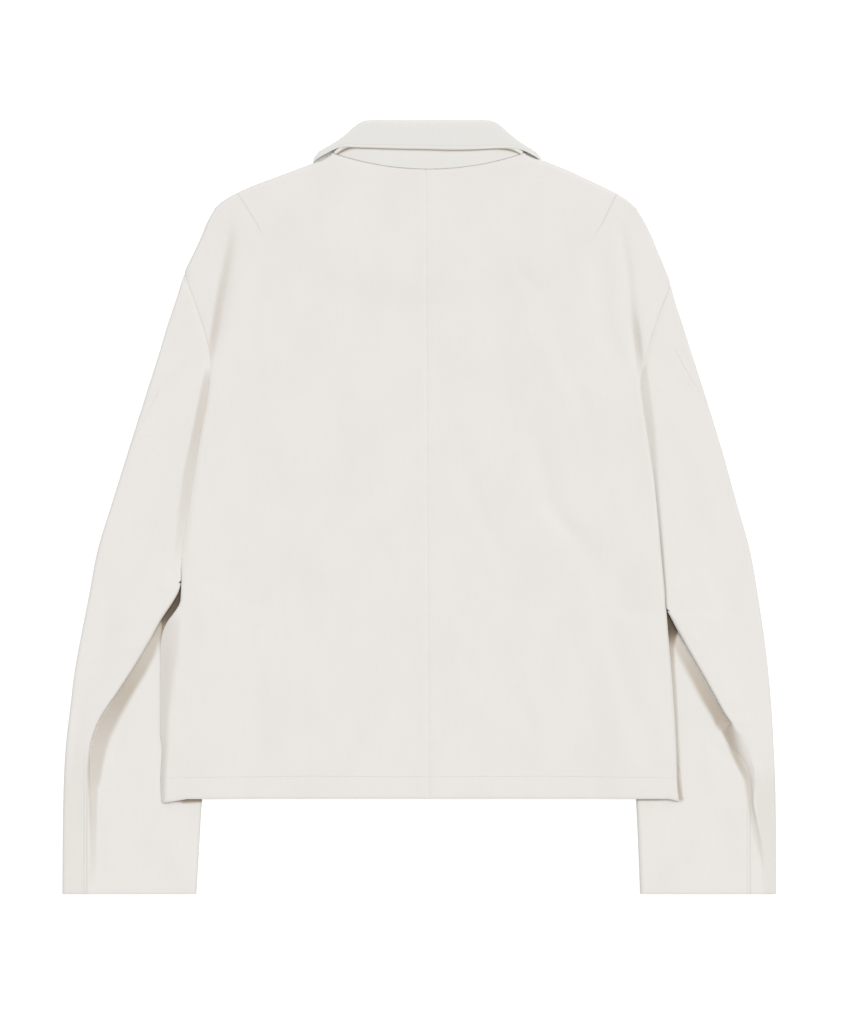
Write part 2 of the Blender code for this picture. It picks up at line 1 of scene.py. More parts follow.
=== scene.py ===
"""The looks of a boxy cotton jacket that is laid flat with its back up.

Every cloth piece is a thin shell on its solid's form, drafted again on finer rows, with the
jacket's creases, seams and sewing.  Plan sizes are millimetres on the drafting board that the
solids were drafted on, x to the right and y down; BOARD_X and BOARD_Y are its point at the
part's origin.  Heights are millimetres above the surface that the jacket lies on.
"""
import itertools
import math

import bpy
import numpy as np
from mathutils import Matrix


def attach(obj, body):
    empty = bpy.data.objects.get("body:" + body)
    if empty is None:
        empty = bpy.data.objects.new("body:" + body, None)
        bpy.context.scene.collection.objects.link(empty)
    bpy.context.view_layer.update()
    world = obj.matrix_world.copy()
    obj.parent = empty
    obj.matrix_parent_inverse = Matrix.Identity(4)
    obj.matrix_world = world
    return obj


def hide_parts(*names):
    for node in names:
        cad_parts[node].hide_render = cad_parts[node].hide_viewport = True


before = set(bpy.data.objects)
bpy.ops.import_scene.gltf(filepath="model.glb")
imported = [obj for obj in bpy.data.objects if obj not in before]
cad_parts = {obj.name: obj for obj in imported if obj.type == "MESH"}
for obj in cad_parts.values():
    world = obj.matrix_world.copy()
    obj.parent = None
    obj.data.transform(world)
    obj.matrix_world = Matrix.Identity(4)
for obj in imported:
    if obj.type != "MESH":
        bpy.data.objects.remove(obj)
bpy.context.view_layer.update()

bl_info = {
    "name": "Jacket laid flat",
    "version": (1, 0, 0),
    "blender": (4, 5, 0),
    "location": "3D View > Sidebar > Jacket",
    "description": "Dresses the solids of a flat laid cotton jacket with cloth, seams and stitches",
    "category": "Object",
}

MM = 0.001
BOARD_X = 419.2
BOARD_Y = 507.3
BODY = "root"

# The photograph's frame, on the same board.
PHOTO_WIDTH = 853.0
PHOTO_HEIGHT = 1024.0

# Heights of the layers.
BODY_TOP = 6.9            # the back where it lies plainly on the fronts
NECK_LIFT = 3.2           # the fronts, raised by the collar beneath them
NECK_CROWN = 1.9          # what the back gains there
SIDE_LIFT = 5.4           # the fronts, raised by the sleeves beneath them
SIDE_CROWN = 3.5          # what the back gains there
SIDE_START = 110.0        # the body starts to rise onto the sleeve this far above the underarm
SIDE_CLIMB = 104.0        # and has risen over this length
SIDE_FLAT = 5.0           # it stays level this far in from the sleeve's inner edge
SIDE_FADE = 42.0          # and has sunk over this width
SLEEVE_ROLL = 3.4         # radius of the sleeve's outer edge
SEAM_STEP = 0.1           # a joined piece's edge at a seam lies this much lower
SEAM_OPEN = 0.02          # gap between the two cloths at the neck seam
EDGE_LIFT = 2.3           # an upper piece's rolled edge above the lower piece's outer face
SHOULDER_ROLL = 6.0       # reach of the roll along the shoulder
NECK_SINK = 0.5           # the back's neck edge below its plain height
FRONT_INSET = 1.2         # the fronts' edges lie this far inside the back's
FRONT_DROP = 0.6          # and this far below its shoulder line
FLOOR_GAP = 0.3           # the floor lies this far below the cloth's underside
FLOOR_HALF = 3.0          # half of the floor's width in metres
RIPPLE = 0.5              # height of the faint unevenness everywhere
RIPPLE_WAVES = ((0.031, 0.017, 0.3), (-0.019, 0.043, 1.7), (0.057, -0.026, 4.1),
                (0.083, 0.061, 2.2))      # each wave's turns across, turns down and phase
SLOPE_SINE = 0.6          # share of a sine in a soft slope, the rest being an even step
LAP_HALF = 11.0           # each front passes the centre by this much
LAP_LIFT = 2.2            # the right front, raised by the left front beneath it
LAP_FADE = 30.0           # it stays raised this far past the lap and has sunk as far again
UNDERARM_LIFT = 26.0      # the sleeve rises to the fold's ridge over this length of armhole
INNER_ROLL = 0.9          # the forearm's inner edge rolls further by this
TUCK_ROLL = 0.35          # radius of the hidden turn at the bottom of the elbow's tuck
RIDGE_ROLL = 2.5          # radius of the elbow fold's ridge where it opens out
SHALLOW_ROLL = 5.0        # it grows by this many times where the fold is shallow

STITCH_LIFT = 0.1         # a stitch's middle lies this far above the cloth

# The centre lines, neck and hem.
CENTRE_TOP = 425.6
CENTRE_HEM = 428.3
COLLAR_X = 428.5
HEM_Y = 798.5
HEM_STITCH_Y = 777.6
HEM_CORNER = {"left": (4.2, 26.0), "right": (2.4, 10.0)}     # its sag, over this width
NECK_Y = 169.3
NECK_RISE = 15.8
NECK_HALF = 95.0
NECK_SHARE = 0.55         # share of a front's width where its neck edge starts
PANEL_WIDTH = 240.0       # a back panel's usual width, which its even columns divide
MIDDLE_END = 0.97         # share of the width where they end
FRONT_STEP = 8.0          # spacing of a front's rows
FRONT_BLEND = 0.2         # it takes its straight width over this share of its length
FRONT_NECK_Y = 152.0
FRONT_NECK_DROP = 82.0

# The shoulder line from the rounded corner to the neck: x, y.
SHOULDER = {
    "left": [(215.5, 208), (222, 202), (234, 194.8), (252, 186.4), (268, 180.4), (285, 174.2),
             (300, 168.5), (309, 165.2), (316, 162.8), (322, 160.4), (328, 156.8), (333.5, 153.5)],
    "right": [(636, 208.5), (629, 202), (617.6, 194.5), (600, 185.6), (586, 179.2), (572, 172.6),
              (557, 166.3), (548, 162.7), (541, 160.4), (535, 158.8), (529, 156.2), (523.5, 153.5)],
}

# The back's outer boundary: y, x, height of the edge, reach of the roll that leads down to it,
# and how sharply it rolls, from 0, a soft slope, to 1, a round edge.
BACK_EDGE = {
    "left": [(208, 215.5, 2.3, 6, 1), (222, 207.6, 2.3, 6, 1), (236, 201.8, 2.3, 6, 1),
             (250, 195.4, 2.3, 6, 1), (262, 189.5, 2.3, 6, 1), (273, 184.8, 2.5, 6, 1),
             (278, 186.2, 4.2, 6, 0.6), (284, 188.2, 6, 7, 0.2), (292, 191.2, 6.5, 7, 0.1),
             (308, 197, 6.6, 7, 0), (330, 204.3, 6.3, 7, 0), (345, 208, 5.9, 6, 0.1),
             (367, 210.6, 5.3, 4, 0.3), (400, 207.2, 5.1, 4, 0.4), (428, 202, 5.1, 4, 0.4),
             (460, 196.8, 5.2, 5, 0.4), (493, 192, 5.4, 6, 0.3), (522, 187, 6, 7, 0.3),
             (548, 182.6, 6.9, 8, 0.4), (568, 181.2, 7.8, 6, 0.7), (583, 181.5, 8.2, 4, 1),
             (596, 181, 7.7, 4, 1), (603, 180, 7.6, 4, 0.9), (611, 175.4, 7.4, 6, 0.7),
             (620, 168.6, 7, 10, 0.4), (628, 164.4, 6.7, 13, 0.2), (638, 161.9, 6.5, 15, 0.1),
             (655, 160.7, 6.4, 15, 0), (732, 160.7, 6.4, 9, 0.1), (750, 162.4, 6.4, 7, 0.2),
             (777, 160.8, 6.4, 7, 0.2), (HEM_Y, 161.6, 6.4, 6, 0.3)],
    "right": [(208.5, 636, 2.3, 6, 1), (222, 644.2, 2.3, 6, 1), (236, 651.2, 2.3, 6, 1),
              (250, 656.8, 2.3, 6, 1), (264, 662.8, 2.3, 6, 1), (284, 670.2, 2.5, 6, 1),
              (289, 669.2, 4.2, 6, 0.6), (295, 667.2, 6, 7, 0.2), (302, 664, 6.5, 7, 0.1),
              (310, 660.8, 6.5, 7, 0), (320, 657.4, 6.4, 7, 0), (339, 651.2, 6, 7, 0.1),
              (358, 645.4, 5.5, 6, 0.2), (380, 640.5, 5.1, 4, 0.3), (410, 643.5, 5, 3.5, 0.4),
              (445, 648.9, 5, 3.5, 0.4), (480, 653.9, 5.1, 3.5, 0.6), (510, 657, 5.3, 4, 0.8),
              (545, 660.4, 6.1, 4, 1), (580, 663.6, 7.4, 4, 1), (611, 666.2, 7.9, 4, 1),
              (634, 668, 7.7, 5, 1), (650, 669.4, 7.7, 5, 1), (690, 672.6, 7.7, 6, 1),
              (720, 674.6, 7.7, 6, 1), (750, 676.1, 7.7, 6, 1), (784, 677, 7.7, 6, 1),
              (HEM_Y, 678.8, 7.7, 6, 1)],
}
CAP_Y = {"left": 273.0, "right": 284.0}
UNDERARM_Y = {"left": 583.0, "right": 611.0}

# The front's armhole, (y, x), beneath the sleeve's and the back's.
FRONT_ARMHOLE = {
    "left": [(273, 185.6), (292, 195), (320, 206.5), (350, 213), (380, 215), (428, 212.5), (493, 205),
             (548, 193), (583, 182.2)],
    "right": [(284, 669.6), (302, 661), (330, 649.5), (358, 642), (388, 638), (432, 639), (500, 644.5),
              (560, 655), (611, 665.6)],
}

# The sleeve's outer edge, (y, x), from the cap to the cuff.
SLEEVE_OUTER = {
    "left": [(273, 184.4), (299, 176.6), (325, 167.8), (350, 160.4), (400, 144.6), (450, 128.8),
             (500, 113.2), (550, 98), (600, 88.4), (650, 78.6), (675, 74.4), (700, 71.4), (750, 65.8),
             (800, 63.6), (893.6, 62.6)],
    "right": [(284, 670.8), (299, 674), (325, 682.4), (350, 690.4), (400, 706.4), (450, 721.8),
              (500, 735.6), (550, 749.6), (600, 758.4), (650, 765.6), (700, 770.6), (750, 773.6),
              (800, 775.4), (893.6, 775.8)],
}

# The sleeve beside the armhole seam: y, height of its crown, width of the climb to it, and
# width of the fall from it to the seam.
SEAM_CROWN = {
    "left": [(273, 2.7, 20, 1), (278, 4.4, 20, 1), (284, 6.2, 20, 2), (300, 7.1, 24, 5),
             (367, 7, 24, 9), (400, 7.2, 30, 10), (438, 7.6, 34, 12), (472, 8.1, 38, 13),
             (513, 9, 46, 13), (548, 9.8, 60, 10), (583, 10.6, 72, 3)],
    "right": [(284, 2.7, 20, 1), (289, 4.4, 20, 1), (295, 6.2, 20, 2), (310, 7.1, 24, 5),
              (365, 7, 24, 8), (400, 7.2, 30, 9.5), (440, 7.6, 34, 8), (480, 8.4, 38, 5),
              (520, 9.3, 52, 4), (560, 10, 62, 3), (611, 10.6, 72, 2.5)],
}

# The elbow seam from the armhole to the sleeve's outer edge: y, x and depth of its groove.
ELBOW_SEAM = {
    "left": [(326, 203.4, 0), (345, 191, 0), (370, 174, 0), (388, 161.2, 0.1), (396, 156.2, 0.6),
             (418, 145, 0.6), (429, 139.6, 0.5)],
    "right": [(321, 656.2, 0), (343, 671, 0.05), (352, 676, 0.5), (368, 684.6, 0.7), (380, 691.4, 0.5),
              (392, 698.6, 0.2)],
}
SEAM_WRAP = 20.0          # past its last row the seam rolls onto the outer edge over this length

# The sleeve's inner edge, (y, x), beneath the body and out to the cuff.
SLEEVE_INNER = {
    "left": [(583, 184.6), (590, 191), (600, 198), (620, 206), (650, 210), (700, 209), (750, 206.2),
             (801, 202), (850, 199), (893.6, 196.4)],
    "right": [(611, 663.4), (618, 656), (628, 648), (645, 640), (670, 635.4), (700, 634.2),
              (750, 634.8), (801, 636.2), (850, 638.4), (893.6, 640)],
}

# The long fold at the elbow: y, x of its edge, tuck, turn in degrees, and the heights of the
# ridge and of the forearm beside it.
ELBOW_FOLD = {
    "left": [(583, 181.3, 0, 100, 10.6, 3.6), (588, 180.2, 4, 160, 11, 3.2),
             (593, 178.4, 9, 180, 11.2, 3), (601, 174, 14, 180, 11.4, 3),
             (610, 168, 17, 180, 11.6, 3.2), (620, 161.4, 19, 180, 11.8, 3.6),
             (640, 150.4, 20, 180, 12, 4.6), (665, 135.4, 17, 180, 12, 5),
             (690, 119.2, 12, 180, 11.6, 5), (716, 101.6, 6, 176, 10.8, 5),
             (742, 91.2, 0, 110, 9.4, 4.8), (764, 89.2, 0, 70, 8.4, 4.8), (784, 89.2, 0, 50, 7.8, 4.8),
             (806, 89.8, 0, 36, 7.3, 5), (850, 91.2, 0, 26, 7, 5.4), (893.6, 92.2, 0, 18, 6.8, 5.9)],
    "right": [(611, 666.8, 0, 100, 10.6, 3.6), (616, 669.6, 4, 160, 11, 3.2),
              (621, 672.2, 9, 180, 11.2, 3), (628, 675.8, 13, 180, 11.4, 3),
              (645, 685.6, 17, 180, 11.2, 4.2), (668, 698.8, 18, 180, 11.4, 4.8),
              (692, 712.3, 15, 180, 11.4, 4.8), (713, 724, 7, 172, 11, 4.7),
              (720, 729, 1, 110, 11.2, 4.4), (727, 733, 0, 40, 10.4, 4.4),
              (735, 737.6, 0, 20, 9.6, 4.4), (742, 741.8, 0, 17, 9.2, 4.4),
              (752, 747.6, 0, 18, 8.8, 4.4), (762, 751.4, 0, 27, 8.6, 4.5), (772, 754, 0, 30, 8.2, 4.6),
              (782, 754.6, 0, 36, 8, 4.7), (792, 753.6, 0, 46, 7.8, 4.9), (804, 753.4, 0, 46, 7.5, 5.2),
              (824, 757, 0, 26, 7.1, 5.7), (858, 762, 0, 18, 6.9, 6), (893.6, 765, 0, 14, 6.7, 6.1)],
}

# Half of the collar from the centre back to the front end: offsets and board y of the neck
# seam, the roll and the outer edge, the side on which the fall lies (90 is on top, -90
# beneath), the middle height, the spacing to either side and the edge's droop.
COLLAR = [
    (0, 169.25, 0, 120.9, 0, 149.8, 90, 9.9, 3.6, 2.4),
    (22, 168.4, 22, 120.9, 25, 149.7, 90, 9.9, 3.6, 2.4),
    (44, 165.85, 41, 120.9, 49, 149.2, 90, 9.9, 3.6, 2.4),
    (65, 161.85, 56, 120.9, 70, 148.5, 90, 9.9, 3.6, 2.4),
    (80, 158.05, 64, 121.6, 84, 149, 88, 9.7, 3.6, 2.4),
    (88, 155.7, 69, 124, 93, 151.2, 78, 9.1, 3.6, 2.2),
    (92, 154.45, 71.6, 127, 101, 155.2, 58, 8.2, 3.5, 1.4),
    (93.6, 153.95, 72.8, 130, 107.6, 159.2, 26, 7, 3.3, 0.8),
    (92.9, 154.1, 73.6, 133.2, 112, 162.6, -16, 5.4, 3, 0),
    (91.8, 155.4, 74, 137, 112.4, 165.4, -58, 3.2, 2.6, 0),
    (91.6, 160, 73.6, 143, 109.6, 171, -90, 2.4, 2.4, 0),
    (87, 182.2, 68, 164, 102, 196, -90, 2.4, 2.4, 0),
    (67.4, 207.9, 53, 191, 90, 228, -90, 2.4, 2.4, 0),
    (38.2, 225.5, 32, 212, 73, 252, -90, 2.4, 2.4, 0),
    (10, 229.6, 9, 221, 60, 262, -90, 2.4, 2.4, 0),
]
STAND_CROWN = 1.4         # the stand swells by this much between its seam and the roll
# How each half differs: how much further out its fall reaches at the shoulder, how much further
# in its roll lies there, how much lower its fall's edge lies beside the neck, how much higher
# beside the shoulder, and how much the fall swells outwards where it lies sideways.
COLLAR_HALVES = {"left": (3.0, 0.0, -0.3, 1.4, 4.4), "right": (2.0, 1.0, 0.9, 0.0, 3.4)}
FALL_SHADE = (0.78, 0.8, 0.85)    # depth of the painted shadow below the fall's edge, its place and width
SHOULDER_SHADE = {"left": 1.5, "right": 0.7}      # it is wider by this much at the shoulder
ROLL_IN_FROM = (40.0, 30.0)       # the roll moves in from this offset on, over this length
FALL_OUT_FROM = (80.0, 25.0)      # the fall moves out from here on
EDGE_LOW_SPAN = 90.0      # the fall's edge lies lower over this offset, most in its middle
EDGE_HIGH_AT = (86.0, 8.0)        # it lies higher around this offset, over this half width
SHADE_GROWS_FROM = (76.0, 16.0)   # the painted shadow widens from here on
FALL_STITCH = (0.3, 2.9, 0.5)     # groove along the fall's edge: depth, place and half width
FALL_ROUND = (0.5, 0.9)   # the fall's edge is rounded off: depth and reach
NECK_FIELD = (125.0, 80.0, 195.0)   # half width, half height and board y of the raised field
NECK_FADE = 0.5           # it fades out over this share of its size

# Darts that shape the shoulder, (y, x), drawn as pressed lines that fade out.
DARTS = {
    "left": [(190, 235.4), (206, 245.8), (222, 255.8), (243, 267), (250, 271)],
    "right": [(190, 618.6), (206, 610.6), (220, 604), (238, 593), (250, 582)],
}
DART_END_Y = 246.0
DART_FADE = 30.0          # a dart's line grows to full strength over this length
DART_SLOPE = 0.84         # width across the slanting line for each step in x

# The seam that shows on the sleeve above the cuff, (y, x).
CUFF_SEAM = {
    "left": [(742, 88), (790, 87.4), (893.6, 87.2)],
    "right": [(790, 750), (815, 749.8), (893.6, 749.8)],
}
CUFF_SEAM_PLIES = 2.8     # distance to the second line of the same seam
CUFF_SEAM_FADE = 30.0     # the seam grows to full strength over this length
CUFF_SEAM_GROOVE = (0.3, 1.5)     # its depth and half width
CUFF_ROUND = (0.7, 1.8)   # the cuff's edge is rounded off: depth and reach

# Sewing and pressing of the back: depth or height, then place and half width.
SEAM_PUCKER = (0.22, 6.0)         # puckers beside the centre seam
SEAM_PUCKER_WAVES = (0.47, 0.171, 0.6)    # turns of their two waves and the second one's phase
SEAM_GROOVE = (0.4, 1.1)          # the centre seam itself
ALLOWANCE_EDGE = (0.14, 4.7, 0.8)     # the edge of its allowance, which shows through the cloth
ALLOWANCE_END = (620.0, 300.0)    # it is lost at this board y, after fading over this length
ALLOWANCE_BANK = (0.22, 5.5, 3.2)     # the cloth that lies on the allowance
HEM_PUCKER = 0.06         # puckers along the hem's stitches
HEM_PUCKER_WAVES = (0.39, 0.123, 1.1)
HEM_GROOVE = (0.03, 1.8)          # the hem's row of stitches
HEM_PLY = (0.12, 5.0)     # the hem is thicker by this, within this length
HEM_ROUND = (0.9, 2.6)    # the hem's edge is rounded off: depth and reach
HEM_SAG = 24.0            # a sagging hem corner pulls the cloth from this far above

# Creases fade out near edges, over these widths.
EDGE_CALM = 16.0          # at the back's side, shoulder and neck
SEAM_CALM = (14.0, 0.25)          # at its centre seam, where this share of them is left
VALLEY_CALM = 3.0         # the valleys beside the armholes, at the back's side
ARMHOLE_CALM = 8.0        # the sleeve's, at its armhole edge
CAP_CALM = 50.0           # and below its cap
INNER_CALM = 14.0         # the forearm's, at its inner edge
TUCK_CALM = 10.0          # and at the fold's tuck
UNDER_BODY = (0.35, 640.0, 60.0)  # share left beneath the body, its end's board y and its fade
RIDGE_PAINTED_SHADE = (110.0, 50.0)       # the fold's painted shade crosses its ridge where it turns less than this
ELBOW_GROOVE = 1.2        # half width of the elbow seam's groove

# Long soft creases down a piece: rows of y, x, half width to the left and to the right, and
# height (a trough is negative).
LONG_CREASES = {
    "valley_left": [
        [(216, 236, 5, 6, 0), (236, 230.5, 5, 7, -1.8), (262, 227, 5, 7, -2.9),
         (291, 223.4, 5, 7, -3.4), (327, 217.6, 5, 7, -3.6), (352, 212.8, 4, 6, -2.6),
         (374, 209, 4, 6, -1), (391, 206, 4, 6, 0)],
    ],
    "valley_right": [
        [(218, 619, 6, 5, 0), (240, 622.6, 6, 5, -1.4), (272, 626.6, 6, 5, -2.4),
         (300, 629.6, 7, 5, -2.2), (338, 635.4, 7, 5, -3), (357, 638.4, 6, 4, -2.4),
         (378, 641, 6, 4, 0)],
    ],
    "back_left": [
        [(545, 246, 9, 9, 0), (575, 240, 9, 9, -0.9), (602, 233, 9, 9, 0)],
        [(545, 305, 10, 10, 0), (578, 299, 10, 10, -0.9), (614, 289, 10, 10, 0)],
        [(524, 379, 9, 9, 0), (560, 384, 9, 9, -0.8), (598, 391, 9, 9, 0)],
        [(640, 252, 10, 10, 0), (706, 257, 10, 10, -1.1), (774, 261, 9, 9, 0)],
        [(650, 412, 10, 10, 0), (700, 404, 10, 10, -0.8), (750, 393, 9, 9, 0)],
        [(626, 225, 10, 10, 0), (700, 220, 10, 10, -1), (776, 218, 9, 9, 0)],
        [(380, 330, 20, 20, 0), (470, 306, 22, 22, 1.2), (560, 268, 18, 18, 0)],
    ],
    "back_right": [
        [(420, 529, 9, 12, 0), (458, 539, 9, 12, -1.3), (507, 551, 10, 13, -1.8),
         (549, 582, 12, 14, -1.6), (584, 593, 9, 12, -0.7), (604, 597, 9, 12, 0)],
        [(232, 592, 12, 12, 0), (288, 600, 12, 12, -1.2), (331, 606, 13, 13, -1.5),
         (361, 619, 12, 12, -0.9), (382, 627, 10, 10, 0)],
        [(366, 572, 8, 8, 0), (410, 582, 8, 8, -0.9), (462, 594, 8, 8, 0)],
        [(258, 514, 7, 7, 0), (277, 525, 7, 7, -0.7), (300, 542, 7, 7, 0)],
        [(424, 455, 10, 10, 0), (472, 468, 10, 10, -1), (520, 484, 10, 10, -1), (584, 514, 10, 10, 0)],
        [(636, 461, 8, 8, 0), (670, 471, 8, 8, -0.6), (708, 484, 8, 8, 0)],
        [(684, 514, 8, 8, 0), (716, 525, 8, 8, -0.7), (752, 540, 8, 8, 0)],
        [(606, 604, 10, 12, 0), (646, 615, 12, 14, -1.5), (700, 630, 12, 14, -1.9),
         (745, 641, 10, 12, -1.1), (770, 645, 9, 9, 0)],
        [(316, 528, 12, 12, 0), (372, 553, 13, 13, 1.1), (434, 580, 12, 12, 0)],
    ],
    "forearm_right": [
        [(776, 764, 8, 8, 0), (818, 757, 4, 8, -0.7), (846, 763, 4, 10, -1), (872, 771, 4, 9, 0)],
    ],
}

# Straight soft creases: start x, y, end x, y, half width and height.  They narrow and widen by
# WANDER's first value, over a length set by its second, and fade out towards their ends.
CREASE_FADE = 1.3         # power of the sine that they fade out with
WANDER = (0.18, 0.11)
CREASES = {
    "back_left": [(300, 470, 226, 700, 14, -0.6), (372, 430, 330, 690, 15, -0.5),
                  (214, 590, 286, 500, 14, 0.8), (206, 612, 300, 600, 12, -0.4),
                  (262, 300, 330, 210, 17, 0.6), (380, 230, 340, 330, 15, -0.4),
                  (196, 590, 208, 650, 9, 0.8), (300, 640, 306, 778, 9, -0.4),
                  (247, 245, 240, 400, 10, 0.8)],
    "back_right": [(482, 463.5, 541, 458, 2.4, -0.3), (520, 640, 548, 776, 11, 0.5),
                   (600, 330, 560, 220, 15, 0.6), (494, 230, 470, 340, 15, -0.3),
                   (652, 612, 646, 660, 9, 0.9), (660, 690, 664, 790, 7, 0.5),
                   (612, 250, 620, 400, 10, 0.7), (655, 301, 661, 316, 1.6, -0.5)],
    "sleeve_left": [(150, 430, 108, 600, 10, 0.9), (176, 420, 140, 560, 9, -0.8),
                    (163, 500, 128, 640, 9, 0.8), (118, 560, 92, 700, 9, -0.7),
                    (172, 572, 160, 592, 7, 0.8), (160, 617, 146, 623, 2.5, 0.6),
                    (150, 632, 112, 660, 7, 0.7), (100, 640, 80, 760, 7, 0.5),
                    (74, 770, 72, 880, 5, 0.4), (178, 330, 160, 372, 7, -0.5),
                    (190, 350, 186, 366, 3, 0.4), (178, 362, 174, 378, 3, 0.4)],
    "forearm_left": [(140, 690, 118, 800, 8, 0.8), (132, 760, 124, 890, 9, -0.6),
                     (150, 700, 160, 850, 10, 0.6), (110, 800, 106, 888, 6, 0.5),
                     (176, 800, 170, 890, 9, 0.5), (126, 742, 112, 760, 6, -0.5)],
    "sleeve_right": [(690, 420, 726, 590, 10, 0.9), (668, 420, 692, 560, 9, -0.8),
                     (684, 520, 726, 660, 10, 0.8), (722, 560, 752, 700, 9, -0.7),
                     (690, 632, 702, 648, 7, 0.7), (744, 640, 764, 760, 7, 0.5),
                     (650, 400, 668, 480, 8, 0.6), (757, 740, 766, 790, 6, -0.9),
                     (670, 330, 690, 374, 7, -0.5), (768, 760, 772, 850, 5, 0.5)],
    "forearm_right": [(700, 720, 722, 820, 9, 0.8), (716, 760, 730, 890, 9, -0.6),
                      (690, 680, 684, 850, 10, 0.6), (744, 812, 742, 890, 6, 0.5),
                      (662, 810, 668, 892, 9, 0.5), (712, 742, 728, 762, 6, -0.6)],
}
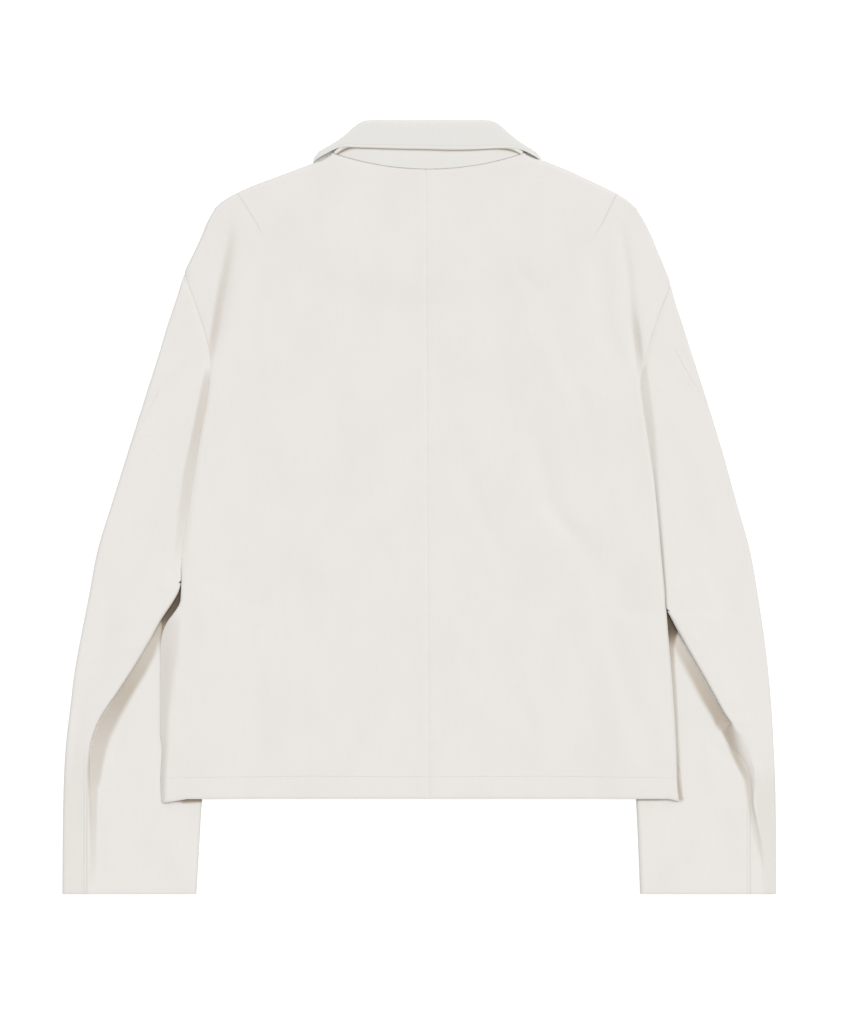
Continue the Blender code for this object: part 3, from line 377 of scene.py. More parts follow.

# Dark tones painted into the cloth's colour: painted shade in creases, hollows and beside overlapping
# edges, and darker lines along the armhole seams and a slightly darker strip along the left cuff.
# Rows of y, x where it is darkest, x where it has cleared, its depth from 0 to 1, and the share of
# the width that is at full depth.
SHADES = {
    "back_left": [
        [(222, 232, 240, 0, 0.2), (242, 229, 238, 0.12, 0.2), (268, 224, 234, 0.2, 0.25),
         (291, 219.6, 230, 0.25, 0.25), (308, 216.6, 226.6, 0.26, 0.3), (331, 212.8, 222, 0.27, 0.4),
         (354, 209.6, 216, 0.2, 0.5), (372, 209.6, 213, 0.06, 0.4), (384, 209, 212, 0, 0.4)],
        [(278, 186.4, 188, 0, 0.3), (286, 189, 190.8, 0.13, 0.3), (308, 197, 198.8, 0.12, 0.3),
         (330, 204.3, 206.1, 0.14, 0.3), (345, 208, 210, 0.2, 0.3), (360, 210, 211.6, 0, 0.3)],
        [(612, 175, 184, 0, 0.5), (624, 166, 183, 0.13, 0.7), (654, 160.7, 181, 0.15, 0.75),
         (690, 159, 176, 0.16, 0.6), (718, 159, 172, 0.15, 0.6), (743, 160, 171, 0.13, 0.5),
         (776, 159, 168, 0.17, 0.5), (803, 160, 167, 0.13, 0.5)],
    ],
    "back_right": [
        [(256, 630, 624, 0, 0.3), (300, 634, 628, 0.05, 0.3), (310, 634.6, 628.2, 0.1, 0.3),
         (322, 637, 629.5, 0.18, 0.4), (334, 639, 631.5, 0.22, 0.65), (346, 640.4, 634, 0.22, 0.85),
         (358, 641.6, 635.2, 0.16, 0.85), (370, 640.4, 636.6, 0.1, 0.7), (380, 639.6, 637.6, 0, 0.5)],
        [(290, 669, 667.2, 0, 0.3), (299, 665.4, 663.6, 0.15, 0.3), (312, 660.2, 658.4, 0.1, 0.3),
         (322, 656.8, 655, 0.08, 0.3), (334, 652.8, 651, 0.18, 0.3), (348, 648.6, 646.8, 0.1, 0.3),
         (360, 645, 643, 0.12, 0.3), (368, 643.2, 641.6, 0, 0.3)],
        [(525, 658.2, 655.2, 0, 0.4), (545, 660.6, 657.8, 0.06, 0.4), (600, 665.6, 662.4, 0.1, 0.4),
         (660, 670.2, 667.2, 0.06, 0.4), (799, 678.6, 676, 0.06, 0.4)],
    ],
    "sleeve_left": [
        [(366, 211.6, 204, 0, 0.5), (380, 210.4, 201.5, 0.22, 0.6), (399, 208, 197.5, 0.24, 0.7),
         (438, 201.4, 190, 0.25, 0.75), (472, 196, 182, 0.18, 0.75), (513, 190.4, 177, 0.13, 0.75),
         (546, 184, 173.4, 0.08, 0.7), (570, 181.4, 172, 0, 0.4)],
        [(742, 62, 88, 0, 0.96), (780, 62, 87.4, 0.045, 0.96), (893.6, 62, 87.4, 0.045, 0.96)],
    ],
    "sleeve_right": [
        [(362, 642.4, 649, 0, 0.6), (370, 642, 648, 0.18, 0.6), (384, 640.6, 650, 0.15, 0.75),
         (400, 641.6, 652.4, 0.14, 0.75), (430, 646, 656.6, 0.14, 0.7), (460, 650.4, 659, 0.13, 0.5),
         (500, 655.4, 660, 0.16, 0.4), (527, 658.2, 662.4, 0.2, 0.4), (560, 661.4, 664.4, 0.26, 0.5),
         (611, 666, 668.2, 0.3, 0.5)],
        [(766, 777, 756, 0, 0.9), (782, 777, 753.4, 0.07, 0.9), (806, 777, 754, 0.075, 0.8),
         (850, 777, 760, 0.07, 0.8), (893.6, 777, 764, 0.06, 0.7)],
    ],
    "forearm_left": [
        [(583, 183, 174, 0.94, 0.97), (601, 183, 171, 0.94, 0.94), (612, 177, 164, 0.92, 0.9),
         (620, 171, 159.2, 0.88, 0.85), (625, 168.6, 160, 0.76, 0.7), (632, 165.4, 159.6, 0.6, 0.6),
         (640, 162.6, 157, 0.4, 0.5), (648, 161.6, 157.4, 0.12, 0.5), (656, 161, 157.4, 0, 0.5)],
        [(616, 160, 170, 0.5, 0.4), (640, 151, 162, 0.36, 0.6), (654, 143.4, 158.6, 0.37, 0.6),
         (672, 132, 149.6, 0.42, 0.65), (690, 120.6, 138.6, 0.46, 0.65), (704, 111.6, 131, 0.44, 0.65),
         (718, 102.2, 123, 0.39, 0.7), (736, 94.6, 114, 0.34, 0.7), (750, 91.2, 109, 0.31, 0.72),
         (764, 89.4, 105, 0.29, 0.78), (780, 88.4, 102, 0.25, 0.82), (788, 88, 98.8, 0.21, 0.85),
         (820, 88, 98, 0.17, 0.8), (860, 88, 98, 0.09, 0.75), (890, 88, 98, 0, 0.6)],
    ],
    "forearm_right": [
        [(611, 665, 673, 0.94, 0.97), (628, 666.4, 678.6, 0.94, 0.95), (634, 667, 678.4, 0.88, 0.85),
         (640, 668, 677, 0.7, 0.7), (648, 669, 675.4, 0.42, 0.6), (668, 670.8, 675.8, 0.34, 0.5),
         (700, 673.2, 678, 0.32, 0.5), (740, 675.4, 679.4, 0.35, 0.5), (776, 676.6, 681, 0.42, 0.6),
         (799, 678.4, 683.4, 0.45, 0.6), (803, 678.4, 683.4, 0, 0.6)],
        [(624, 673, 669, 0.2, 0.5), (645, 683, 669.6, 0.3, 0.5), (668, 696, 680.6, 0.42, 0.45),
         (700, 714, 697.6, 0.5, 0.5), (716, 723.4, 708.4, 0.52, 0.6), (724, 729, 713, 0.5, 0.75),
         (730, 733, 717, 0.3, 0.8), (734, 735, 720, 0, 0.8)],
        [(718, 713.8, 729, 0, 0.7), (726, 720.4, 734.6, 0.5, 0.5), (734, 724, 741.6, 0.52, 0.3),
         (742, 728, 744.6, 0.5, 0.2), (750, 731, 746, 0.47, 0.2), (760, 735.4, 749.6, 0.44, 0.15),
         (770, 740.4, 753.6, 0.38, 0.2), (780, 745.6, 754.4, 0.32, 0.45), (792, 747.6, 753.4, 0.3, 0.6),
         (806, 749.4, 753.8, 0.26, 0.5), (824, 752.4, 761, 0.16, 0.4), (850, 758.4, 770, 0.12, 0.4),
         (868, 765.6, 774, 0.07, 0.4), (884, 769, 776, 0, 0.4)],
    ],
}

# The same painted shade beneath the hem, a painted shadow: rows of x, y where it is darkest, y where
# it has cleared, its depth and the share at full depth.
HEM_SHADES = {
    "forearm_left": [
        [(168, 799, 801, 0, 0.6), (176, 799, 802.6, 0.25, 0.7), (184, 799, 803.2, 0.68, 0.75),
         (202, 799, 802.8, 0.7, 0.75)],
    ],
    "forearm_right": [
        [(634, 798, 800.8, 0.4, 0.6), (656, 798, 801, 0.42, 0.6), (664, 798, 800.8, 0.3, 0.6),
         (684, 798, 800.4, 0.2, 0.6)],
    ],
}
SHADE_EDGE = 3.0          # a painted shade's dark side fades out over this width


def smooth(share):
    """An even step from 0 to 1."""
    share = min(max(share, 0.0), 1.0)
    return share * share * (3.0 - 2.0 * share)


def step_from(value, start, length):
    """An even step from 0 to 1 that begins at a start and takes a length."""
    return smooth((value - start) / length)


def held(values):
    """Values held between 0 and 1."""
    return np.clip(values, 0.0, 1.0)


def bell(distance, half_width):
    """A bell curve, 1 at no distance."""
    return np.exp(-(distance / half_width) ** 2)


def along(table, key, column=1):
    """Read a column of a table at a key, on a smooth curve through its rows."""
    if key <= table[0][0]:
        return table[0][column]
    for row in range(len(table) - 1):
        low, high = table[row], table[row + 1]
        if key <= high[0]:
            break
    else:
        return table[-1][column]
    span = high[0] - low[0]
    chord = (high[column] - low[column]) / span
    slope_low = slope_high = chord
    if row:
        before = table[row - 1]
        slope_low = (high[column] - before[column]) / (high[0] - before[0])
    if row + 2 < len(table):
        after = table[row + 2]
        slope_high = (after[column] - low[column]) / (after[0] - low[0])
    share = (key - low[0]) / span
    rest = 1.0 - share
    return (low[column] * (1.0 + 2.0 * share) * rest * rest
            + slope_low * span * share * rest * rest
            + high[column] * share * share * (3.0 - 2.0 * share)
            - slope_high * span * share * share * rest)


def out(side):
    """The board direction that leads away from the centre on this side."""
    return -1.0 if side == "left" else 1.0


def neck_field(x, y):
    """1 over the collar's front half, falling to 0 around it."""
    half_width, half_height, centre_y = NECK_FIELD
    reach = math.hypot((x - COLLAR_X) / half_width, (y - centre_y) / half_height)
    return 1.0 - step_from(reach, 1.0, NECK_FADE)


def side_field(side, x, y):
    """1 where the body lies on a sleeve, falling to 0 towards the centre and the armhole."""
    inward = (along(SLEEVE_INNER[side], y) - x) * out(side)
    down = step_from(y, UNDERARM_Y[side] - SIDE_START, SIDE_CLIMB)
    return down * (1.0 - step_from(inward, SIDE_FLAT, SIDE_FADE))


def front_height(side, x, y):
    """Height of a front's outer face, which faces down."""
    return NECK_LIFT * neck_field(x, y) + SIDE_LIFT * side_field(side, x, y)


def rolled(height, edge_height, distance, reach, sharp):
    """The height at a distance from an edge, between a soft slope and a round roll."""
    if distance >= reach:
        return height
    share = max(distance, 0.0) / reach
    round_share = math.sqrt(1.0 - (1.0 - share) ** 2)
    sine = math.sin(math.pi / 2 * share)
    soft_share = smooth(share) * (1.0 - SLOPE_SINE) + sine * SLOPE_SINE
    return edge_height + (height - edge_height) * (
        soft_share + (round_share - soft_share) * min(max(sharp, 0.0), 1.0))


def spread(table, step):
    """Keys from the first to the last of a table, no further apart than a step."""
    keys = []
    for low, high in zip(table, table[1:]):
        count = max(1, math.ceil((high[0] - low[0]) / step))
        keys += [low[0] + (high[0] - low[0]) * part / count for part in range(count)]
    return keys + [table[-1][0]]


def shoulder_y(side, x):
    """Board y of the shoulder line."""
    table = [(-out(side) * point_x, point_y) for point_x, point_y in SHOULDER[side]]
    return along(table, -out(side) * x)


def back_neck_y(x):
    """Board y of the back's neck edge, a parabola."""
    return NECK_Y - NECK_RISE * ((x - COLLAR_X) / NECK_HALF) ** 2


def centre_x(y):
    """Board x of the centre back seam."""
    top_y = SHOULDER["left"][0][1]
    return CENTRE_TOP + (CENTRE_HEM - CENTRE_TOP) * (y - top_y) / (HEM_Y - top_y)


def read_rows(table, keys):
    """A table's columns at an array of keys, in straight steps between its rows."""
    row_keys = [row[0] for row in table]
    return [np.interp(keys, row_keys, [row[column] for row in table])
            for column in range(1, len(table[0]))]


def long_creases(name, points):
    """Sum of a piece's long creases at an array of board points."""
    x, y = points[:, 0], points[:, 1]
    total = np.zeros(len(points))
    for table in LONG_CREASES.get(name, []):
        stations = np.linspace(table[0][0], table[-1][0], 80)
        fine = [[key] + [along(table, key, column) for column in range(1, 5)]
                for key in stations]
        centre, to_left, to_right, height = read_rows(fine, y)
        inside = (y > table[0][0]) & (y < table[-1][0])
        half_width = np.where(x < centre, to_left, to_right)
        total += inside * height * bell(x - centre, half_width)
    return total


def crease_height(name, points):
    """Sum of a piece's long and straight creases at an array of board points."""
    x, y = points[:, 0], points[:, 1]
    total = long_creases(name, points)
    for start_x, start_y, end_x, end_y, half_width, height in CREASES.get(name, []):
        length = math.hypot(end_x - start_x, end_y - start_y)
        run_x, run_y = (end_x - start_x) / length, (end_y - start_y) / length
        lengthwise = (x - start_x) * run_x + (y - start_y) * run_y
        across = (y - start_y) * run_x - (x - start_x) * run_y
        fade = np.sin(np.pi * held(lengthwise / length)) ** CREASE_FADE
        wander = 1.0 + WANDER[0] * np.sin(lengthwise * WANDER[1] + start_x)
        total += height * fade * bell(across, half_width * wander)
    return total


def ripple(points):
    """A faint unevenness, as pressed cloth keeps, from a few crossing waves."""
    x, y = points[:, 0], points[:, 1]
    total = np.zeros(len(points))
    for across, down, phase in RIPPLE_WAVES:
        total += np.sin(across * x + down * y + phase)
    return total * RIPPLE / len(RIPPLE_WAVES)


def painted_shade_bands(tables, keys, places):
    """The deepest of several bands of painted shade at each place."""
    deepest = np.zeros(len(keys))
    for table in tables:
        darkest, clear, depth, full = read_rows(table, keys)
        inside = (keys >= table[0][0]) & (keys <= table[-1][0])
        share = (places - darkest) / (clear - darkest)
        width = np.abs(clear - darkest)
        fade = held((share - full) / np.maximum(1.0 - full, 0.01))
        fade = 1.0 - fade * fade * (3.0 - 2.0 * fade)
        before = held(1.0 + share * width / SHADE_EDGE)
        tone = depth * np.where(share < 0.0, before, fade) * inside
        deepest = np.maximum(deepest, tone)
    return deepest


def painted_crease_shade(name, points):
    """Depth of the shade painted into the colour at an array of board points."""
    x, y = points[:, 0], points[:, 1]
    beside = painted_shade_bands(SHADES.get(name, []), y, x)
    below = painted_shade_bands(HEM_SHADES.get(name, []), x, y)
    return np.maximum(beside, below)


def board_to_part(points):
    """Board points with heights, in millimetres, as the part's metres."""
    placed = np.array(points, dtype=float)
    placed[:, 0] -= BOARD_X
    placed[:, 1] = BOARD_Y - placed[:, 1]
    return placed * MM


def add_object(name, data):
    """A new object, linked to the scene."""
    thing = bpy.data.objects.new(name, data)
    bpy.context.collection.objects.link(thing)
    return thing


def build_sheet(name, rows, flip, thickness, lines=None, painted_shades=None, grain=None):
    """A closed shell through rows of board points.

    lines gives each point's signed distance to a pressed line and the line's strength, painted_shades
    the depth of the shade painted into its colour and grain its place on the cut cloth, in the rows'
    order.
    """
    lengths = [len(row) for row in rows]
    starts = np.concatenate(([0], np.cumsum(lengths)))
    points = np.array([point for row in rows for point in row], dtype=float)
    faces = []
    for row in range(len(rows) - 1):
        upper, lower = starts[row], starts[row + 1]
        for column in range(min(lengths[row], lengths[row + 1]) - 1):
            corners = (upper + column, lower + column, lower + column + 1, upper + column + 1)
            faces.append(corners[::-1] if flip else corners)
    mesh = bpy.data.meshes.new(name)
    mesh.from_pydata(board_to_part(points).tolist(), [], faces)
    grain = points[:, :2] if grain is None else np.asarray(grain)
    uv_map = mesh.uv_layers.new(name="cloth")
    corner_points = np.empty(len(mesh.loops), dtype=np.int32)
    mesh.loops.foreach_get("vertex_index", corner_points)
    uv_map.data.foreach_set("uv", (grain[corner_points] * MM).ravel())
    lines = np.zeros((len(points), 2)) if lines is None else np.asarray(lines, dtype=float)
    painted_shades = np.zeros(len(points)) if painted_shades is None else np.asarray(painted_shades, dtype=float)
    # painted_shade_depth carries the shade painted into the cloth's colour
    for label, values in (("line_distance", lines[:, 0] * MM), ("line_strength", lines[:, 1]),
                          ("painted_shade_depth", painted_shades)):
        attribute = mesh.attributes.new(label, "FLOAT", "POINT")
        attribute.data.foreach_set("value", values)
    mesh.shade_smooth()
    corner_edges = np.empty(len(mesh.loops), dtype=np.int32)
    mesh.loops.foreach_get("edge_index", corner_edges)
    at_border = np.bincount(corner_edges, minlength=len(mesh.edges)) == 1
    border = mesh.attributes.new("sharp_edge", "BOOLEAN", "EDGE")
    border.data.foreach_set("value", at_border)
    sheet = add_object(name, mesh)
    solidify = sheet.modifiers.new("Thickness", "SOLIDIFY")
    solidify.thickness = thickness * MM
    solidify.offset = -1.0
    solidify.use_even_offset = False
    solidify.use_rim = True
    return sheet


def running_length(points):
    """Length along a run of points up to each of them."""
    steps = [math.dist(*pair) for pair in zip(points, points[1:])]
    return itertools.accumulate([0.0] + steps)


def grain_by_length(rows):
    """Places on the cut cloth: the length across each row, and the rows' board y."""
    return [(across, point[1]) for row in rows for across, point in zip(running_length(row), row)]


def back_keys(side, step):
    """Board y of the back's rows at its outer edge, closer at the shoulder, hem and stitches."""
    corner_y = SHOULDER[side][0][1]
    top_rows = [corner_y + down for down in (0.0, 0.25, 0.7, 1.4, 2.4, 3.8, 5.6, 7.8, 10.6)]
    hem_rows = [HEM_Y - up for up in (2.6, 1.6, 0.9, 0.4, 0.0)]
    stitch_rows = [HEM_STITCH_Y + down for down in (-3.4, -1.8, -0.9, 0.0, 0.9, 1.8, 3.4)]
    body_rows = [y for y in spread(BACK_EDGE[side], step)
                 if corner_y + 12.0 < y < HEM_Y - 4.0 and abs(y - HEM_STITCH_Y) > 4.2]
    return sorted(top_rows + body_rows + hem_rows + stitch_rows)


def back_shares(step, neck_share):
    """Shares of the way from the side to the centre, closer at both, with the neck's corner."""
    side = [0.0, 0.0012, 0.003, 0.0065, 0.012, 0.0185, 0.0255, 0.0335, 0.0425, 0.052]
    centre = [0.9765, 0.979, 0.981, 0.983, 0.9885, 0.9925, 0.9955, 0.998, 1.0]
    count = int(PANEL_WIDTH / step)
    span = MIDDLE_END - side[-1]
    middle = [side[-1] + span * part / count for part in range(1, count + 1)]
    shares = side + middle + centre
    nearest = min(range(len(shares)), key=lambda index: abs(shares[index] - neck_share))
    shares[nearest] = neck_share
    return shares


def back_sheet(side, settings):
    """A back panel, from the side to the centre seam, with its rows and their board y."""
    corner_x, corner_y = SHOULDER[side][0]
    top_span = centre_x(corner_y) - corner_x
    neck_share = (COLLAR_X + out(side) * NECK_HALF - corner_x) / top_span
    shares = back_shares(settings.row_step, neck_share)
    keys = back_keys(side, settings.row_step)
    points = []
    lines = []
    insets = []
    for key in keys:
        edge_x, edge_height, reach, sharp = (
            along(BACK_EDGE[side], key, column) for column in (1, 2, 3, 4))
        down = (key - corner_y) / (HEM_Y - corner_y)
        for share in shares:
            top_x = corner_x + top_span * share
            on_neck = share >= neck_share
            top_y = back_neck_y(top_x) if on_neck else shoulder_y(side, top_x)
            x = edge_x + (centre_x(key) - edge_x) * share
            y = top_y + (HEM_Y - top_y) * down
            plain = BODY_TOP + NECK_CROWN * neck_field(x, y) + SIDE_CROWN * side_field(side, x, y)
            top_height = plain - NECK_SINK if on_neck else front_height(side, x, y) + EDGE_LIFT
            top_sharp = 0.5 if on_neck else 1.0
            height = min(rolled(plain, edge_height, abs(x - edge_x), reach, sharp),
                         rolled(plain, top_height, y - top_y, SHOULDER_ROLL, top_sharp))
            points.append((x, y, height))
            dart_strength = smooth((DART_END_Y - y) / DART_FADE) * (y < DARTS[side][-1][0])
            lines.append(((x - along(DARTS[side], y)) * DART_SLOPE, dart_strength))
            insets.append((abs(x - edge_x), y - top_y))
    points = np.array(points)
    crease_back(side, points, *np.array(insets).T, settings.crease_depth)
    rows = np.split(points, len(keys))
    sheet = build_sheet(f"back_{side}_cloth", rows, side == "right", settings.thickness,
                        lines=lines, painted_shades=painted_crease_shade("back_" + side, points))
    return sheet, rows, keys


def crease_back(side, points, from_edge, from_top, depth):
    """Give a back its creases, its pressed seam and hem, and the sag of the hem's corner."""
    from_centre = np.abs(points[:, 0] - centre_x(points[:, 1]))
    calm = held(from_edge / EDGE_CALM) * held(from_top / EDGE_CALM)
    calm *= np.clip(from_centre / SEAM_CALM[0], SEAM_CALM[1], 1.0)
    folds = crease_height("back_" + side, points) + ripple(points)
    valley = long_creases("valley_" + side, points)
    points[:, 2] += depth * (folds * calm + valley * held(from_edge / VALLEY_CALM))
    press_centre_seam(points, from_centre)
    press_hem(points)
    drop, sag_width = HEM_CORNER[side]
    near_corner = held(1.0 - from_edge / sag_width)
    near_hem = held((points[:, 1] - HEM_Y + HEM_SAG) / HEM_SAG)
    points[:, 1] += drop * near_corner * near_hem ** 2


def puckers(depth, lengthwise, waves):
    """Uneven small puckers along a seam."""
    first, second, phase = waves
    return depth * np.sin(lengthwise * first) * np.sin(lengthwise * second + phase)


def press_centre_seam(points, from_centre):
    """Sink the seam between the two panels, with the small puckers beside it."""
    y = points[:, 1]
    depth, reach = SEAM_PUCKER
    points[:, 2] += puckers(depth, y, SEAM_PUCKER_WAVES) * bell(from_centre, reach)
    depth, half_width = SEAM_GROOVE
    points[:, 2] -= depth * bell(from_centre, half_width)
    end_y, fade = ALLOWANCE_END
    turned_in = (points[:, 0] > centre_x(y)) * held((end_y - y) / fade)
    depth, place, half_width = ALLOWANCE_EDGE
    points[:, 2] -= depth * turned_in * bell(from_centre - place, half_width)
    height, place, half_width = ALLOWANCE_BANK
    points[:, 2] += height * bell(from_centre - place, half_width)


def press_hem(points):
    """Sink the row of hem stitches, thicken the hem below it and round its edge."""
    from_stitch = points[:, 1] - HEM_STITCH_Y
    pucker = puckers(HEM_PUCKER, points[:, 0], HEM_PUCKER_WAVES)
    depth, half_width = HEM_GROOVE
    points[:, 2] += (pucker - depth) * bell(from_stitch, half_width)
    height, reach = HEM_PLY
    points[:, 2] += height * held(from_stitch / reach)
    depth, reach = HEM_ROUND
    points[:, 2] -= depth * held(1.0 - (HEM_Y - points[:, 1]) / reach) ** 2


def front_sheet(side, settings):
    """A front, hidden under the back, with its outer face down."""
    edge = BACK_EDGE[side]
    corner_x, corner_y = SHOULDER[side][0]
    inset = -out(side) * FRONT_INSET
    lap_x = COLLAR_X - out(side) * LAP_HALF
    columns = [step / 40 for step in range(22)]
    columns += [NECK_SHARE + (1.0 - NECK_SHARE) * step / 18 for step in range(19)]
    rows = []
    for key in spread(edge, FRONT_STEP):
        in_armhole = CAP_Y[side] <= key <= UNDERARM_Y[side]
        edge_x = along(FRONT_ARMHOLE[side], key) if in_armhole else along(edge, key) + inset
        down = (key - corner_y) / (HEM_Y - corner_y)
        row = []
        for share in columns:
            if share < NECK_SHARE:
                neck_x = COLLAR_X + out(side) * NECK_HALF
                top_x = corner_x + inset + (neck_x - corner_x - inset) * share / NECK_SHARE
                top_y = shoulder_y(side, top_x) + FRONT_DROP
            else:
                turn = math.pi / 2 * (share - NECK_SHARE) / (1.0 - NECK_SHARE)
                top_x = COLLAR_X + out(side) * NECK_HALF * math.cos(turn)
                if share == 1.0:
                    top_x = lap_x
                level = min(abs(top_x - COLLAR_X) / NECK_HALF, 1.0)
                top_y = FRONT_NECK_Y + FRONT_NECK_DROP * math.sqrt(1.0 - level * level)
            low_x = edge_x + (lap_x - edge_x) * share
            x = top_x + (low_x - top_x) * smooth(down / FRONT_BLEND) if share else edge_x
            y = top_y + (HEM_Y - top_y) * down
            height = front_height(side, x, y)
            if side == "right":
                past_lap = x - COLLAR_X - LAP_HALF - LAP_FADE
                height += LAP_LIFT * (1.0 - smooth(past_lap / LAP_FADE))
            row.append((x, y, height))
        rows.append(row)
    return build_sheet(f"front_{side}_cloth", rows, side == "left", settings.thickness)


class SleeveSection:
    """One section across a sleeve; inward distances are measured from its outer edge."""

    LOWER_POINTS = 12
    ROLL_POINTS = 10
    UPPER_POINTS = 14
    RIDGE_POINTS = 12
    SLOPE_POINTS = 6
    TUCK_POINTS = 4
    FOREARM_POINTS = 64
    INNER_POINTS = 6
    KNEE_POINTS = 6
    ROLL_SHARE = 0.45         # the outer roll takes at most this share of a narrow section
    SEAM_TURN = 0.45          # the wrapped seam lies this share of the way round the roll
    CLIMB_SHARE = 0.85        # the climb to the crown takes at most this share of the width
    OPENING = 45.0            # the ridge narrows over this turn as the fold opens
    SHALLOW = (27.0, 9.0)     # it widens again below this turn, over this turn

    def __init__(self, side, y):
        self.side = side
        self.y = y
        self.outer = along(SLEEVE_OUTER[side], y)
        underarm = UNDERARM_Y[side]
        self.has_fold = y >= underarm
        self.fall = 0.0
        self.turn = 0.0
        if self.has_fold:
            edge_x, tuck, turn, self.ridge, self.forearm = (
                along(ELBOW_FOLD[side], y, column) for column in range(1, 6))
            self.end = self.inward(edge_x)
            self.tuck = max(tuck, 0.0)
            self.turn = min(max(turn, 4.0), 180.0)
            self.crown = self.end_height = self.ridge
            self.climb = SEAM_CROWN[side][-1][2]
            self.lower_end = self.inward(along(SLEEVE_INNER[side], y))
        else:
            self.end = self.inward(along(BACK_EDGE[side], y))
            self.crown, self.climb, self.fall = (
                along(SEAM_CROWN[side], y, column) for column in (1, 2, 3))
            self.end_height = along(BACK_EDGE[side], y, 2) - SEAM_STEP
            lift = step_from(y, underarm - UNDERARM_LIFT, UNDERARM_LIFT)
            self.end_height += (ELBOW_FOLD[side][0][4] - self.end_height) * lift
            self.lower_end = self.inward(along(FRONT_ARMHOLE[side], y))
        self.roll = min(SLEEVE_ROLL, self.end * self.ROLL_SHARE, self.lower_end * self.ROLL_SHARE)
        self.seam = self.seam_length()

    def seam_length(self):
        """Length of cloth from the bottom of the outer roll to the elbow seam."""
        table = ELBOW_SEAM[self.side]
        first_y, last_y = table[0][0], table[-1][0]
        at_end = self.length_to(self.end) - 0.05
        if self.y < first_y:
            return at_end
        if self.y <= last_y:
            return min(self.length_to(self.inward(along(table, self.y))), at_end)
        half_way = math.pi * self.roll * self.SEAM_TURN
        last_inward = (along(SLEEVE_OUTER[self.side], last_y) - table[-1][1]) * out(self.side)
        start = self.length_to(last_inward)
        fall = step_from(self.y, last_y, SEAM_WRAP)
        return max(half_way, start + (half_way - start) * fall)

    def inward(self, x):
        """Distance from the outer edge to a board x."""
        return (self.outer - x) * out(self.side)

    def length_to(self, inward):
        """Length of cloth from the bottom of the outer roll to a point on the upper face."""
        return math.pi * self.roll + inward - self.roll

    def ridge_roll(self):
        """Radius of the fold's ridge."""
        full = max((self.ridge - self.forearm) / 2 - TUCK_ROLL, 1.0)
        opened = smooth((180.0 - self.turn) / self.OPENING)
        roll = full + (min(RIDGE_ROLL, full) - full) * opened
        widest, length = self.SHALLOW
        return roll * (1.0 + SHALLOW_ROLL * smooth((widest - self.turn) / length))

    def ridge_reach(self):
        """Length in plan of the ridge's roll."""
        return self.ridge_roll() * math.sin(math.radians(min(self.turn, 90.0)))

    def top_end(self):
        """Inward distance where the upper face ends: its armhole edge or the ridge's roll."""
        return self.end - self.ridge_reach() if self.has_fold else self.end

    def at(self, length):
        """The point of the outer face at a length from the bottom of the outer roll."""
        if length <= math.pi * self.roll:
            turn = length / self.roll
            return self.roll - self.roll * math.sin(turn), self.roll - self.roll * math.cos(turn)
        inward = self.roll + length - math.pi * self.roll
        room = self.top_end() - self.roll
        fall = min(self.fall, room * 0.5)
        crest = self.top_end() - fall
        climb = max(min(self.climb, (crest - self.roll) * self.CLIMB_SHARE), 0.01)
        edge_height = 2 * self.roll
        height = edge_height + (self.crown - edge_height) * smooth((inward - crest + climb) / climb)
        if fall and inward > crest:
            height += (self.end_height - self.crown) * min((inward - crest) / fall, 1.0) ** 2
        return inward, height

    def top_points(self):
        """The topsleeve: the lower face, the outer roll and the upper face up to the seam."""
        lower = [(self.roll + (self.lower_end - self.roll) * step / self.LOWER_POINTS, 0.0)
                 for step in range(self.LOWER_POINTS, -1, -1)]
        knee = min(math.pi * self.roll, self.seam * 0.7)
        rounded = [self.at(knee * step / self.ROLL_POINTS)
                   for step in range(1, self.ROLL_POINTS + 1)]
        upper = [self.at(knee + (self.seam - knee) * step / self.UPPER_POINTS)
                 for step in range(1, self.UPPER_POINTS + 1)]
        return lower + rounded + upper

    def under_points(self):
        """The undersleeve's upper face, from the elbow seam to the armhole or the ridge."""
        start = self.seam
        last = self.length_to(self.top_end())
        knee = max(math.pi * self.roll, start + (last - start) * 0.08)
        shares = [step / 38 for step in range(1, 34)] + [0.89, 0.915, 0.94, 0.96, 0.976, 0.988,
                                                         0.995, 1.0]
        points = [self.at(start + (knee - start) * step / self.KNEE_POINTS)
                  for step in range(self.KNEE_POINTS + 1)]
        return points + [self.at(knee + (last - knee) * share) for share in shares]

    def fold_points(self):
        """The ridge's roll, the tuck beneath it, the forearm and its rolled inner edge."""
        turn = math.radians(self.turn)
        roll = self.ridge_roll()
        centre = self.end - self.ridge_reach()
        points = []
        for step in range(1, self.RIDGE_POINTS + 1):
            angle = turn * step / self.RIDGE_POINTS
            points.append((centre + roll * math.sin(angle),
                           self.ridge - roll * (1.0 - math.cos(angle))))
        fall = self.ridge - self.forearm - (roll + TUCK_ROLL) * (1.0 - math.cos(turn))
        start_in, start_height = points[-1]
        run = fall * math.cos(turn) / max(math.sin(turn), 0.25) - self.tuck
        for step in range(1, self.SLOPE_POINTS + 1):
            share = step / self.SLOPE_POINTS
            points.append((start_in + run * share, start_height - fall * share))
        centre_in = points[-1][0] + TUCK_ROLL * math.sin(turn)
        centre_height = points[-1][1] + TUCK_ROLL * math.cos(turn)
        for step in range(1, self.TUCK_POINTS + 1):
            angle = turn * (1.0 - step / self.TUCK_POINTS)
            points.append((centre_in - TUCK_ROLL * math.sin(angle),
                           centre_height - TUCK_ROLL * math.cos(angle)))
        last_in = points[-1][0]
        edge_roll = self.forearm - EDGE_LIFT + INNER_ROLL
        flat_end = self.lower_end - edge_roll
        for step in range(1, self.FOREARM_POINTS + 1):
            share = step / self.FOREARM_POINTS
            points.append((last_in + (flat_end - last_in) * share, self.forearm))
        for step in range(1, self.INNER_POINTS + 1):
            angle = math.pi / 2 * step / self.INNER_POINTS
            points.append((flat_end + edge_roll * math.sin(angle),
                           self.forearm - edge_roll * (1.0 - math.cos(angle))))
        return points

    def place(self, points):
        """Put section points on the board."""
        return np.array([(self.outer - inward * out(self.side), self.y, height)
                         for inward, height in points])


